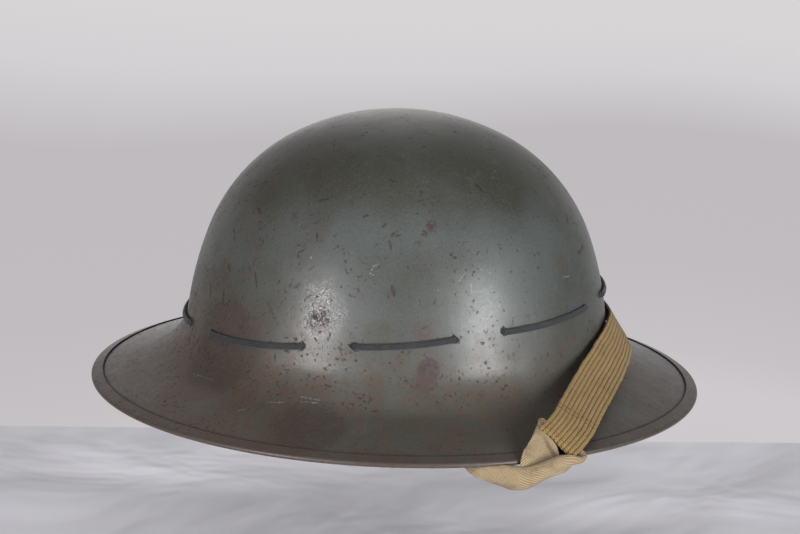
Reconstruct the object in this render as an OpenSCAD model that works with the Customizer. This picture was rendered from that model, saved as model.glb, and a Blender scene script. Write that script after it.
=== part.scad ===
// Civil defence helmet: a high steel crown on a wide sloping brim, with a laced tape cradle inside.
// X points to the wearer's front, Y to the left and Z up. The brim's lower edge lies at height rim_z.

/* [Shell] */
// Half length of the helmet, measured at the folded edge strip
brim_reach = 155; // [150:0.5:162]
// Width of the oval over its length
oval = 0.94; // [0.92:0.005:0.97]
// Thickness of the pressed steel
shell_wall = 1.2; // [1:0.1:1.5]
// Radius of the top of the crown
dome_r = 117.5; // [114:0.5:121]
// Slope where the top runs into the shoulder
dome_end = 27.5; // [26:0.5:29]
// Radius of the shoulder
shoulder_r = 89; // [87:0.5:92]
// Slope where the shoulder runs into the side
shoulder_end = 69.6; // [68:0.2:71]
// Radius of the slightly bulging side
side_r = 177; // [165:1:190]
// Slope where the side runs into the flare
side_end = 83.3; // [81:0.1:85]
// Radius of the flare between side and brim
flare_r = 28.6; // [26:0.2:31]
// Slope where the flare runs into the brim
flare_end = 24; // [23:0.5:27]
// Radius of the brim's slight upward curve
brim_r = 204; // [180:2:240]
// Slope of the brim at its edge
brim_slope = 20; // [18:0.5:22]

/* [Edge strip] */
// Width of the folded strip on the brim's edge
strip_w = 7; // [5:0.1:9]
// Thickness of the strip
strip_t = 0.6; // [0.4:0.05:0.8]
// Gap where the two ends of the strip meet at the back
strip_gap = 0.5; // [0.3:0.1:1]

/* [Lace] */
// Diameter of the lace
lace_d = 2.8; // [2.4:0.1:3.2]
// Diameter of the lace holes
hole_d = 4.2; // [3.8:0.1:5]
// Height of the ring of holes over the brim's edge, at mid length
lace_h = 45.6; // [43:0.2:48]
// Tilt of the ring of holes, higher at the front
lace_tilt = 5.5; // [4:0.1:6.5]
// Drop of the ring of holes at front and back
lace_bow = 2.3; // [1.5:0.1:3]
// Distance between the two holes of a pair
pair_gap = 26; // [25:0.5:28]
// Angle of the pairs nearest the front and the back, from the long axis
end_pair = 22.5; // [21:0.5:24]
// Angle of the pairs nearest the sides, from the long axis
side_pair = 70; // [68:0.5:72]
// Length of the lace's loose ends
lace_tail = 24; // [16:1:26]

/* [Cradle] */
// Width of the cradle tapes
tape_w = 19; // [17:0.5:20]
// Thickness of the cradle tapes
tape_t = 0.9; // [0.7:0.05:1.1]
// Height of the lowest cradle tape over the brim's edge
cradle_h = 103; // [98:0.5:106]
// Half length of the flat middle of the cradle
cradle_flat = 34; // [32:0.5:40]
// Distance of the lace inside from the steel
lace_in = 4; // [3.6:0.1:4.6]
// Radius of the felt pad under the crossing
pad_r = 30; // [26:0.5:32]
// Thickness of the felt pad
pad_t = 3; // [2:0.2:4]
// Side of the sewn square at the crossing
sewn_square = 13; // [10:0.5:13]

/* [Headband] */
// Half length of the head opening
head_a = 92.5; // [89:0.5:93]
// Half width of the head opening
head_b = 79.5; // [76:0.5:82]
// Height of the headband
band_h = 32; // [29:0.5:33]
// Distance of the headband's upper edge below the lace
band_drop = 7; // [6.5:0.1:8]
// Thickness of the leathercloth
cloth_t = 0.7; // [0.5:0.05:0.9]
// Thickness of the felt inside the headband
felt_t = 2; // [1.5:0.1:2.4]
// Width of the opening at the back of the headband
back_gap = 22; // [18:1:26]
// Diameter of the cord that closes the headband
cord_d = 2.4; // [2:0.1:2.8]
// Distance between the upper and the lower eyelet
eyelet_pitch = 14; // [12:0.5:16]
// Bore of the headband's eyelets
eyelet_bore = 3.8; // [3.4:0.1:4.2]

/* [Chin strap] */
// Width of the elastic webbing
strap_w = 21.5; // [20:0.5:23]
// Thickness of the webbing
strap_t = 1.4; // [1.2:0.1:1.6]
// Height of the slot in the folded ends of the strap
slot_h = 1.5; // [1.4:0.1:1.8]
// Height of the tie tapes' eyelets over the brim's edge
pivot_h = 22; // [20:0.5:24]
// Bore of the tie tapes' eyelets
tie_bore = 5.4; // [5:0.1:6]
// Depth of the tie tape's roll below the brim's edge
roll_drop = 11.4; // [10.6:0.1:12]

/* [Hidden] */
// Clearance between cloth layers
fit = 0.1;
// Facets of round parts in the preview
fine = 96;
thread_d = 0.7;
rim_z = roll_drop;

// Plain helpers
function last(v) = v[len(v) - 1];
function unit(v) = v / norm(v);
function mix(a, b, f) = a + (b - a) * f;
function hermite(a, b, c, d, f) =
  0.5 * (2 * b + (c - a) * f + (2 * a - 5 * b + 4 * c - d) * f * f + (3 * b - a - 3 * c + d) * f * f * f);
function smooth(v, n) = concat(
  [for (i = [0:len(v) - 2], j = [0:n - 1])
    hermite(v[max(i - 1, 0)], v[i], v[i + 1], v[min(i + 2, len(v) - 1)], j / n)], [last(v)]);

// Outline of the crown and brim: arcs that follow each other from the top outwards.
// An arc is [start point, slope at start, radius, slope at end]; a falling slope curves upwards.
function sense(a) = a[3] > a[1] ? 1 : -1;
function normal(slope) = [sin(slope), cos(slope)];
function centre(a) = a[0] - sense(a) * a[2] * normal(a[1]);
function on_arc(a, f) = centre(a) + sense(a) * a[2] * normal(mix(a[1], a[3], f));
function next(a, r, slope) = [on_arc(a, 1), a[3], r, slope];
dome = [[0, 0], 0, dome_r, dome_end];
shoulder = next(dome, shoulder_r, shoulder_end);
side = next(shoulder, side_r, side_end);
flare = next(side, flare_r, flare_end);
brim = next(flare, brim_r, brim_slope);
arcs = [dome, shoulder, side, flare, brim];
// The strip's folded nose ends the brim; the steel stops short of it inside the fold
nose_r = shell_wall / 2 + fit + strip_t;
nose_x = brim_reach - nose_r;
edge_x = nose_x + (nose_r - strip_t - 2 * fit) * cos(brim_slope) + shell_wall / 2 * sin(brim_slope);
edge_z = nose_r - (nose_r - strip_t - 2 * fit) * sin(brim_slope) + shell_wall / 2 * cos(brim_slope);
brim_end = on_arc(brim, 1);
crown_h = edge_z - brim_end[1] + (edge_x - brim_end[0]) * tan(brim_slope);
outline = concat([for (a = arcs, f = [0:0.1:0.95]) on_arc(a, f) + [0, crown_h]],
                 [brim_end + [0, crown_h], [edge_x, edge_z], [brim_reach + 10, edge_z - 4]]);
height_of = [for (p = outline) [p[0], p[1]]];
width_of = [for (i = [len(outline) - 1:-1:0]) [outline[i][1], outline[i][0]]];
// Height of the steel's upper face at a point, and its half length at a height
function steel_z(x, y) = lookup(norm([x, y / oval]), height_of);
function steel_x(z) = lookup(z, width_of);
function edge_y(x) = oval * sqrt(brim_reach * brim_reach - x * x);

// Lace: height of its ring, and points on the steel at an angle, an offset and a height
function lace_z(x) = lace_h + tan(lace_tilt) * x - lace_bow * pow(x / 100, 2);
function wall_point(angle, off, z) =
  [(steel_x(z) + off) * cos(angle), oval * (steel_x(z) + off) * sin(angle), z];
function lace_point(angle, off) = wall_point(angle, off, lace_z(steel_x(lace_h) * cos(angle)));
pairs = [end_pair, side_pair, 180 - side_pair, 180 - end_pair,
         180 + end_pair, 180 + side_pair, 360 - side_pair, 360 - end_pair];
function per_mm(angle) = 180 / PI / steel_x(lace_h) / norm([sin(angle), oval * cos(angle)]);
function hole_angle(pair, way) = pairs[pair] + way * pair_gap / 2 * per_mm(pairs[pair]);
run_in = -shell_wall - lace_in;
function loop_centre(pair) = lace_point(pairs[pair], run_in);
function loop_reach(pair) = norm([loop_centre(pair)[0], loop_centre(pair)[1]]);
function loop_turn(pair) = atan2(loop_centre(pair)[1], loop_centre(pair)[0]);
function along(pair) = [-sin(loop_turn(pair)), cos(loop_turn(pair)), 0];

// Tubes and ribbons swept through lists of rings
module skin(rings) {
  n = len(rings);
  m = len(rings[0]);
  polyhedron(points = [for (r = rings, p = r) p],
    faces = concat([[for (j = [0:m - 1]) j]], [[for (j = [m - 1:-1:0]) (n - 1) * m + j]],
      [for (i = [0:n - 2], j = [0:m - 1]) let (k = (j + 1) % m)
        each [[i * m + j, (i + 1) * m + j, (i + 1) * m + k], [i * m + j, (i + 1) * m + k, i * m + k]]]));
}
function heading(v, i) = unit(v[min(i + 1, len(v) - 1)] - v[max(i - 1, 0)]);
function flatten(u, t) = unit(u - (u * t) * t);
function carried(v, u0) = [for (i = 0, u = flatten(u0, heading(v, 0)); i < len(v);
  i = i + 1, u = flatten(u, heading(v, min(i, len(v) - 1)))) u];
function ring(p, u, w, a, b, m) =
  [for (j = [0:m - 1]) p + a * cos(360 * j / m) * u + b * sin(360 * j / m) * w];
module tube(v, d, up = [0, 0, 1]) {
  us = carried(v, up);
  skin([for (i = [0:len(v) - 1]) ring(v[i], us[i], cross(heading(v, i), us[i]), d / 2, d / 2, 8)]);
}

// Oval parts are cut in quarters, drawn round and narrowed in width
module ovally(k) {
  for (q = [0:3]) scale([1, k, 1]) intersection() {
    children();
    rotate(90 * q) translate([0, 0, -50]) cube([200, 200, 250]);
  }
}
module lifted() { translate([0, 0, rim_z]) children(); }

// Shell
module arc_wall(a) {
  c = centre(a);
  r0 = a[2] - (sense(a) > 0 ? shell_wall : 0);
  far = sense(a) * 3 * a[2];
  translate([0, crown_h]) intersection() {
    translate(c) difference() {
      circle(r0 + shell_wall, $fn = 360);
      circle(r0, $fn = 360);
    }
    polygon([c, c + far * normal(a[1]), c + far * normal((a[1] + a[3]) / 2), c + far * normal(a[3])]);
  }
}
module shell() {
  e0 = brim_end + [0, crown_h];
  e1 = [edge_x, edge_z];
  in = shell_wall * normal(brim_slope);
  color("darkslategray") lifted() ovally(oval) difference() {
    rotate_extrude($fn = fine) {
      for (a = arcs) arc_wall(a);
      polygon([e0, e1, e1 - in, e0 - in]);
    }
    for (pair = [0:7], way = [-1, 1]) let (h = hole_angle(pair, way), z = lace_z(steel_x(lace_h) * cos(h)))
      rotate([0, 0, h]) translate([steel_x(z), 0, z]) rotate([0, 90, 0])
        cylinder(d = hole_d, h = 12, center = true, $fn = 24);
  }
}
module edge_strip() {
  color("dimgray") lifted() difference() {
    ovally(oval) rotate_extrude($fn = fine) translate([nose_x, nose_r]) rotate(-brim_slope) difference() {
      union() {
        circle(nose_r, $fn = 12);
        translate([nose_r - strip_w, -nose_r]) square([strip_w - nose_r, 2 * nose_r]);
      }
      translate([-strip_w, -nose_r + strip_t])
        square([strip_w + nose_r - strip_t - fit, shell_wall + 2 * fit]);
    }
    translate([-brim_reach - 10, -strip_gap / 2, -10]) cube([30, strip_gap, 30]);
  }
}

// Lace: in and out through all sixteen holes, knotted inside at the back of the right side
bend = 1.9;
out = lace_d / 2 + 3 * fit;
function at_hole(pair, way, t, off) =
  lace_point(hole_angle(pair, way) + t * per_mm(pairs[pair]), off);
function through(pair, way) = let (low = at_hole(pair, way, -way * bend, run_in + 0.1)) [
  at_hole(pair, way, way * bend, out), at_hole(pair, way, way * bend * 0.3, out - bend * 0.3),
  at_hole(pair, way, 0, out - bend), at_hole(pair, way, 0, run_in + bend),
  at_hole(pair, way, -way * bend * 0.3, run_in + bend * 0.3),
  [low[0], low[1], mix(low[2], loop_centre(pair)[2], 0.6)]];
function inner_run(pair, past) = [loop_centre(pair) - (tape_w / 2 + fit) * along(pair),
                                  loop_centre(pair) + (tape_w / 2 + past) * along(pair)];
function reversed(v) = [for (i = [len(v) - 1:-1:0]) v[i]];
function dash(pair) =
  let (a = hole_angle(pair, 1), b = hole_angle((pair + 1) % 8, -1) + (pair == 7 ? 360 : 0))
  [for (i = [1:5]) lace_point(mix(a, b, i / 6), out)];
knot_pair = 4;
knot_d = 7;
knot_at = at_hole(knot_pair, 1, 5, -shell_wall - knot_d / 2 - 0.5) - [0, 0, 1];
lace_route = concat(
  [knot_at], [at_hole(knot_pair, 1, 1.4, run_in + 1.6)], [at_hole(knot_pair, 1, 0.3, run_in + 2.6)],
  [for (i = [0:2]) through(knot_pair, 1)[2 - i]],
  [for (n = [0:7]) let (pair = (knot_pair + n) % 8, after = (pair + 1) % 8)
    each concat(dash(pair), through(after, -1), inner_run(after, n == 7 ? 1.1 : fit),
                n == 7 ? [] : reversed(through(after, 1)))],
  [for (d = [[-0.9, 1.5, 0.9], [0.7, 2.7, 1.6], [2.6, 2.2, 1.7]])
    at_hole(knot_pair, 1, d[0], run_in - d[1]) - [0, 0, d[2]]], [knot_at]);
module lace() {
  down = [0, 0, -1];
  away = along(knot_pair);
  color("dimgray") lifted() {
    tube(lace_route, lace_d);
    translate(knot_at) sphere(d = knot_d, $fn = 32);
    tube([knot_at, knot_at + 3 * away + 3 * down, knot_at + 5 * away + 8 * down,
          knot_at + 5.5 * away + lace_tail * 0.6 * down,
          knot_at + 6 * away + lace_tail * down], lace_d, away);
    tube([knot_at, knot_at - 0.5 * away + 5 * down, knot_at + 0.4 * away + 10 * down,
          knot_at + lace_tail * 0.85 * down], lace_d, away);
  }
}

// Cradle: four tapes cross under the crown, and each end loops round the lace and joins the headband
loop_bore = lace_d / 2 + fit;
loop_r = loop_bore + tape_t;
band_out = head_a + 2 * cloth_t + felt_t + 2 * fit;
band_k = head_b / head_a;
function band_z(x) = lace_h - band_drop + tan(lace_tilt) * x;
function band_reach(turn) = 1 / norm([cos(turn) / band_out, sin(turn) / (band_out * band_k)]);
function offset_line(v, d) = [for (i = [0:len(v) - 1]) let (t = heading(v, i)) v[i] + d * [-t[1], t[0]]];
function ribbon(v, t) = concat(offset_line(v, t / 2), reversed(offset_line(v, -t / 2)));
function arm(pair, top) = let (
    s1 = loop_reach(pair) - loop_bore - tape_t / 2,
    z1 = loop_centre(pair)[2],
    s2 = band_reach(loop_turn(pair)) + fit + tape_t / 2,
    z2 = band_z(loop_centre(pair)[0]) + 0.8)
  concat([[0, top]], [for (a = [0:6:90]) [mix(cradle_flat, s1, sin(a)), mix(z1, top, cos(a))]],
         [[s1, z1 - 0.6], [s2, z2]]);
module arm_profile(pair, top) {
  difference() {
    union() {
      polygon(ribbon(arm(pair, top), tape_t));
      translate([loop_reach(pair), loop_centre(pair)[2]]) circle(loop_r, $fn = 48);
    }
    translate([loop_reach(pair), loop_centre(pair)[2]]) circle(loop_bore, $fn = 48);
  }
}
patch_h = 16;
module arm_patch(pair) {
  turn = loop_turn(pair);
  top = band_z(loop_centre(pair)[0]) + 2.5;
  intersection() {
    scale([1, band_k, 1]) difference() {
      cylinder(r = band_out + fit + tape_t, h = 120, $fn = fine);
      translate([0, 0, -1]) cylinder(r = band_out + fit, h = 122, $fn = fine);
    }
    rotate(turn) translate([0, -tape_w / 2, top - patch_h - 2.5]) cube([150, tape_w, patch_h + 2.5]);
  }
}
module cradle_tape(pair, layer) {
  top = cradle_h + layer * (tape_t + fit);
  color("wheat") lifted() {
    for (p = [pair, pair + 4]) {
      rotate([0, 0, loop_turn(p)]) rotate([90, 0, 0])
        linear_extrude(tape_w, center = true) arm_profile(p, top);
      arm_patch(p);
    }
  }
}
module cradle_tape_side_right() { cradle_tape(1, 0); }
module cradle_tape_side_left() { cradle_tape(2, 1); }
module cradle_tape_front_right() { cradle_tape(0, 2); }
module cradle_tape_front_left() { cradle_tape(3, 3); }
module crown_felt() {
  color("gray") lifted() translate([0, 0, cradle_h - tape_t / 2 - fit - pad_t])
    cylinder(r = pad_r, h = pad_t, $fn = fine);
}
module crown_facing() {
  color("saddlebrown") lifted() translate([0, 0, cradle_h - tape_t / 2 - 2 * fit - pad_t - cloth_t])
    cylinder(r = pad_r, h = cloth_t, $fn = fine);
}
module stitch_row(length, pitch, lie = 2.2) {
  n = floor(length / pitch);
  for (i = [0:n]) translate([(i - n / 2) * pitch, 0, 0]) rotate([0, 90, 0])
    cylinder(d = thread_d, h = lie, center = true, $fn = 16);
}
module crown_stitches() {
  up = cradle_h + 3 * (tape_t + fit) + tape_t / 2 + thread_d / 2 + fit;
  down = cradle_h - tape_t / 2 - 3 * fit - pad_t - cloth_t - thread_d / 2;
  color("ivory") lifted() for (z = [up, down], q = [0:3])
    rotate([0, 0, 90 * q]) translate([0, sewn_square / 2, z]) stitch_row(sewn_square - 3, 3.2);
}

// Headband: leathercloth folded round a strip of felt, laced shut at the back
module band_slab(low, high) {
  rotate([0, -lace_tilt, 0]) translate([-200, -200, low]) cube([400, 400, high - low]);
}
slab_top = (lace_h - band_drop) * cos(lace_tilt);
slab_foot = slab_top - band_h;
module tube_wall(r0, r1) {
  difference() {
    translate([0, 0, -40]) cylinder(r = r1, h = 160, $fn = fine);
    translate([0, 0, -41]) cylinder(r = r0, h = 162, $fn = fine);
  }
}
mid_r = head_a + cloth_t + fit + felt_t / 2;
eyelet_side = back_gap / 2 + 7;
eyelet_at = asin(eyelet_side / (mid_r * band_k));
eyelet_lean = atan2(sin(eyelet_at) / band_k, cos(eyelet_at));
eyelet_wall = eyelet_bore / 2 + 0.6;
function eyelet_centre(way) = [-mid_r * cos(eyelet_at), way * eyelet_side];
function eyelet_mid_z() = band_z(-mid_r) - band_h / 2;
module at_eyelets() {
  for (way = [-1, 1], up = [-1, 1])
    translate([eyelet_centre(way)[0], way * eyelet_side, eyelet_mid_z() + up * eyelet_pitch / 2])
      rotate([0, 0, 180 - way * eyelet_lean]) rotate([0, 90, 0]) children();
}
module back_opening() {
  translate([-150, -back_gap / 2, -40]) cube([80, back_gap, 160]);
}
tie_wall = tie_bore / 2 + 0.5;
module side_bores(d, y0, y1) {
  for (way = [-1, 1]) translate([0, way * (y0 + y1) / 2, pivot_h]) rotate([90, 0, 0])
    cylinder(d = d, h = y1 - y0, center = true, $fn = 32);
}
felt_in = head_a + cloth_t + fit;
felt_out = felt_in + felt_t;
module headband() {
  color("saddlebrown") lifted() difference() {
    ovally(band_k) difference() {
      intersection() { tube_wall(head_a, band_out); band_slab(slab_foot, slab_top); }
      intersection() {
        tube_wall(head_a + cloth_t, band_out - cloth_t);
        band_slab(slab_foot + cloth_t, slab_top + 5);
      }
    }
    back_opening();
    at_eyelets() cylinder(r = eyelet_wall + fit, h = 14, center = true, $fn = 24);
    side_bores(2 * (tie_wall + fit), band_k * felt_out - 0.4, band_k * band_out + 4);
  }
}
module headband_felt() {
  color("gray") lifted() difference() {
    ovally(band_k) intersection() {
      tube_wall(felt_in, felt_out);
      band_slab(slab_foot + cloth_t + fit, slab_top - 1);
    }
    back_opening();
    at_eyelets() cylinder(r = eyelet_wall + fit, h = 14, center = true, $fn = 24);
    side_bores(2 * tie_wall + 5.4, band_k * felt_in - 4, band_k * felt_out + 4);
  }
}
module bartacks() {
  color("ivory") lifted() for (pair = [0:7]) {
    turn = loop_turn(pair);
    spot = band_reach(turn) + (tape_t + fit) * 1.01 + thread_d / 2 + 0.1;
    lean = atan2(sin(turn) / (band_k * band_k), cos(turn));
    for (down = [3, 8, 13])
      translate([spot * cos(turn), spot * sin(turn), band_z(loop_centre(pair)[0]) - down])
      rotate([0, 0, lean]) rotate([90, 0, 0]) cylinder(d = thread_d, h = 11, center = true, $fn = 16);
  }
}
module eyelet(bore, barrel, flange, length, leaf) {
  difference() {
    union() {
      cylinder(r = barrel, h = length, center = true, $fn = 32);
      for (s = [-1, 1]) translate([0, 0, s * (length + leaf) / 2])
        cylinder(r = flange, h = leaf, center = true, $fn = 32);
    }
    cylinder(d = bore, h = length + 3 * leaf, center = true, $fn = 32);
  }
}
leaf_t = 0.4;
band_t = band_out - head_a;
module back_eyelets() {
  color("goldenrod") lifted() at_eyelets()
    eyelet(eyelet_bore, eyelet_wall, eyelet_wall + 1.6, band_t + 0.5, leaf_t);
}
// The closing cord runs outside between the eyelets of one side and inside across the opening
cord_off = band_t / 2 + leaf_t + 0.25 + cord_d / 2 + 0.25;
function cord_point(way, up, off) = let (c = eyelet_centre(way), a = 180 - way * eyelet_lean)
  [c[0] + off * cos(a), c[1] + off * sin(a), eyelet_mid_z() + up * eyelet_pitch / 2];
knot_r = 1.05 * cord_d;
cord_knot = cord_point(-1, 0, band_t / 2 + knot_r + 3 * fit);
turn_r = 1.6;
function cord_out(way, up) = [cord_point(way, up, cord_off) - [0, 0, up * turn_r],
  cord_point(way, up, cord_off - turn_r * 0.3) - [0, 0, up * turn_r * 0.3],
  cord_point(way, up, cord_off - turn_r)];
function cord_in(way, up) = [cord_point(way, up, turn_r - cord_off),
  cord_point(way, up, -cord_off + turn_r * 0.3) - [0, way * turn_r * 0.3, 0],
  cord_point(way, up, -cord_off) - [0, way * turn_r, 0]];
module back_cord() {
  color("ivory") lifted() {
    tube(concat([cord_knot], reversed([for (i = [0:2]) cord_out(-1, 1)[2 - i]]), cord_in(-1, 1),
                reversed(cord_in(1, 1)), reversed(cord_out(1, 1)), cord_out(1, -1), cord_in(1, -1),
                reversed(cord_in(-1, -1)), reversed(cord_out(-1, -1)), [cord_knot]), cord_d, [0, 1, 0]);
    translate(cord_knot) sphere(r = knot_r, $fn = 32);
  }
}

// Chin strap, put up over the front of the crown. Each station has its angle round the helmet, its place
// from 0 close to the side to 1 at the brim's edge, its height over the steel, and its width's turn and pitch
stations = [[0, 0, 9.9, 0, 58.6], [13, 0, 11.2, -6.3, 53.9], [22.5, 0.038, 10.9, -15.5, 49.2],
            [28.5, 0.079, 10.6, -24.3, 45], [38, 0.2, 10, -25.9, 37], [46.5, 0.39, 9.25, -21.8, 30.8],
            [52.7, 0.595, 9, -16.2, 28.8], [57.6, 0.811, 9.2, -12.2, 28], [62.1, 0.984, 8.3, -12, 28.7]];
// Distance of the strap's middle line from the side at the front
strap_off = 8.5;
strap_in = on_arc(side, 1)[0] + strap_off;
function strap_spot(s) = let (r = mix(strap_in, brim_reach, s[1]))
  [r * cos(s[0]), -oval * r * sin(s[0]), lookup(r, height_of) + s[2]];
function strap_width(s) = [cos(s[3]) * cos(s[4]), sin(s[3]) * cos(s[4]), -sin(s[4])];
strap_stations = smooth(stations, 3);
strap_line = [for (s = strap_stations) strap_spot(s)];
strap_last = len(strap_line) - 1;
function strap_frame(i) = let (t = i == 0 ? [0, -1, 0] : heading(strap_line, i),
  w = flatten(strap_width(strap_stations[i]), t)) [strap_line[i], w, cross(t, w), t];
function band_ring(c, w, n) = [for (q = [[1, 1], [-1, 1], [-1, -1], [1, -1]])
  c + q[0] * strap_w / 2 * w + q[1] * strap_t / 2 * n];
fold_r = (slot_h + strap_t) / 2;
end_frame = strap_frame(strap_last);
function folded(a) = let (n = cos(a) * end_frame[2] + sin(a) * end_frame[3])
  band_ring(end_frame[0] - fold_r * end_frame[2] + fold_r * n, end_frame[1], n);
function returned(k) = let (f = strap_frame(strap_last - k))
  band_ring(f[0] - (k < 3 ? 2 * fold_r : strap_t + fit + (k == 3 ? 0.5 : 0)) * f[2], f[1], -f[2]);
half_strap = concat([for (i = [0:strap_last]) let (f = strap_frame(i)) band_ring(f[0], f[1], f[2])],
                    [for (a = [45:45:180]) folded(a)], [for (k = [1:6]) returned(k)]);
function mirrored(r) = [for (p = r) [p[0], -p[1], p[2]]];
module chin_strap() {
  n = len(half_strap);
  color("darkkhaki") lifted() skin(concat([for (i = [n - 1:-1:1]) mirrored(half_strap[i])], half_strap));
}
// Two rows of stitches close each folded end of the strap
module strap_stitches() {
  f = strap_frame(strap_last - 5);
  lie = (strap_t + thread_d) / 2 + 3 * fit;
  color("olive") for (row = [0, 3], i = [-4:4])
    tube([for (s = [-0.5, 0.5]) f[0] + lie * f[2] + row * f[3] + (i * 2.2 + s * 1.5) * f[1]], thread_d, f[2]);
}

// Tie tapes. Each is sewn behind the headband's leathercloth, comes out through the eyelet and runs under
// the brim to its edge. There it is rolled up, goes on through the strap's slot, and its end is folded
// flat over the edge and tucked in behind the roll.
// A station is [angle round the helmet, place, height, width, thickness, direction of the width]. On the leg
// the place is the share of the way to the edge and the height a share of the eyelet's; on the roll and the
// fold the place is the distance out from the edge, and the height is taken from the brim's lower edge.
// The roll is drawn for a drop of 11.4 and follows the real one.
tie_pocket = band_k * felt_in + 0.2;
leg = [[90, 0.034, 1, 2.4, 4.2, 1, 0, 0], [90, 0.07, 0.99, 2.4, 4.2, 1, 0, 0],
  [89.6, 0.147, 0.864, 4, 3.4, 1, 0, 0], [87.4, 0.285, 0.614, 8, 2.8, 1, -0.3, 0],
  [84.4, 0.489, 0.386, 9, 2.8, 1, -0.6, 0], [81.8, 0.683, 0.164, 8, 3, 0.8, -1, 0],
  [79.6, 0.8, -0.03, 6, 3.4, 0.3, -1, 0]];
roll = [[77.7, -3.6, -2.7, 4.8, 4.2, 0, -1, 0], [75.8, -2, -3.5, 6, 6.2, 0, -1, 0],
  [73.5, -0.6, -4.8, 7.6, 8.6, 0, -1, 0], [71, 1.6, -5.85, 8.8, 11.1, 0, -1, 0],
  [68.5, 4.4, -4.7, 8.4, 10.2, 0, -1, 0], [66, 6.7, -1.9, 7.8, 8, 0, -1, 0],
  [64, 8, -0.1, 7.4, 7.6, 0, -1, 0], [62.2, 9.2, 1.5, 7.2, 7.6, 0, -1, 0],
  [60.6, 10.6, 3, 5.8, 5.8, 0, -1, 0], [59.2, 11.4, 2.9, 4, 4, 0.2, -1, 0],
  [57.9, 9.8, 2.2, 3, 3, 0.5, -1, 0.3]];
fold = [[66.4, -12.2, 17, 3.2, 2, -0.7, -0.7, 0.2], [67.2, -9.4, 16.8, 4.4, 2, -1, -0.3, 0.3],
  [67, -4.8, 14.2, 6.5, 2, -1, -0.3, 0.5], [66.5, -2.2, 10.6, 10.5, 1.9, -1, -0.1, 0.4],
  [66.1, -0.6, 7.2, 15, 1.8, -1, 0.15, 0.2], [65.9, 0.8, 4.3, 19, 1.8, -1, 0.36, 0.05],
  [66, 2, 2, 21, 1.6, -1, 0.42, 0], [66.2, 2.3, 0.5, 21, 1.2, -1, 0.42, 0]];
function rest(s) = [for (i = [3:7]) s[i]];
function on_leg(s) = concat([brim_reach * cos(s[0]), mix(tie_pocket, oval * brim_reach * sin(s[0]), s[1]),
                             pivot_h * s[2]], rest(s));
function at_edge(s) = concat([brim_reach * cos(s[0]), oval * brim_reach * sin(s[0]) + s[1], s[2]], rest(s));
roll_k = roll_drop / 11.4;
function on_roll(s) = at_edge([s[0], s[1], s[2] * roll_k, s[3], s[4] * roll_k, s[5], s[6], s[7]]);
module tie_tape() {
  f = strap_frame(strap_last - 1);
  slot_mid = f[0] - fold_r * f[2];
  thread = [for (s = [1, 0, -1]) let (p = slot_mid + s * (strap_w / 2 + 0.6) * f[1])
    [p[0], -p[1], p[2], 4, slot_h - 0.4, -f[3][0], f[3][1], -f[3][2]]];
  route = smooth(concat([for (s = leg) on_leg(s)], [for (s = roll) on_roll(s)], thread,
                        [for (s = fold) at_edge(s)]), 2);
  path = [for (s = route) [s[0], s[1], s[2]]];
  color("wheat") {
    translate([0, tie_pocket, pivot_h]) rotate([-90, 0, 0]) {
      cylinder(d = tie_bore + 3, h = 1, $fn = 32);
      cylinder(d = tie_bore - 0.6, h = band_k * band_out + 2.5 - tie_pocket, $fn = 32);
    }
    skin([for (i = [0:len(path) - 1]) let (t = heading(path, i), s = route[i],
      u = flatten([s[5], s[6], s[7]], t)) ring(path[i], u, cross(t, u), s[3] / 2, s[4] / 2, 12)]);
  }
}
module tie_tape_left() { lifted() tie_tape(); }
module tie_tape_right() { lifted() mirror([0, 1, 0]) tie_tape(); }
module strap_stitches_right() { lifted() strap_stitches(); }
module strap_stitches_left() { lifted() mirror([0, 1, 0]) strap_stitches(); }
// The leathercloth curves away from the eyelet's flat leaf by this much
tie_leaf_r = tie_wall + 2;
band_sag = pow(tie_leaf_r, 2) * band_k / band_out / 2;
module strap_eyelet(way) {
  out_face = band_k * band_out + fit / 2;
  in_face = band_k * (band_out - cloth_t) - band_sag - fit / 2;
  color("goldenrod") lifted() translate([0, way * (out_face + in_face) / 2, pivot_h])
    rotate([90, 0, 0]) eyelet(tie_bore, tie_wall, tie_leaf_r, out_face - in_face, leaf_t);
}
module strap_eyelet_right() { strap_eyelet(-1); }
module strap_eyelet_left() { strap_eyelet(1); }

shell();
edge_strip();
lace();
cradle_tape_front_right();
cradle_tape_side_right();
cradle_tape_side_left();
cradle_tape_front_left();
crown_felt();
crown_facing();
crown_stitches();
headband();
headband_felt();
bartacks();
back_eyelets();
back_cord();
strap_eyelet_right();
strap_eyelet_left();
tie_tape_right();
tie_tape_left();
chin_strap();
strap_stitches_right();
strap_stitches_left();
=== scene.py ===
"""Dresses the civil defence helmet: shell, edge strip, lace, cradle, headband, chin strap and tie tapes.

Lengths are written in millimetres over the brim's lower edge, as in the part's source, and become
metres in the row frame when a mesh is made.
"""

import logging
from dataclasses import dataclass
from enum import Enum
from functools import reduce
from math import asin, atan2, cos, hypot, pi, radians, sin, tan
from typing import Callable, Iterable, Optional, Sequence, Union

import bpy
import numpy as np
from mathutils import Matrix, Vector, noise

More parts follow.
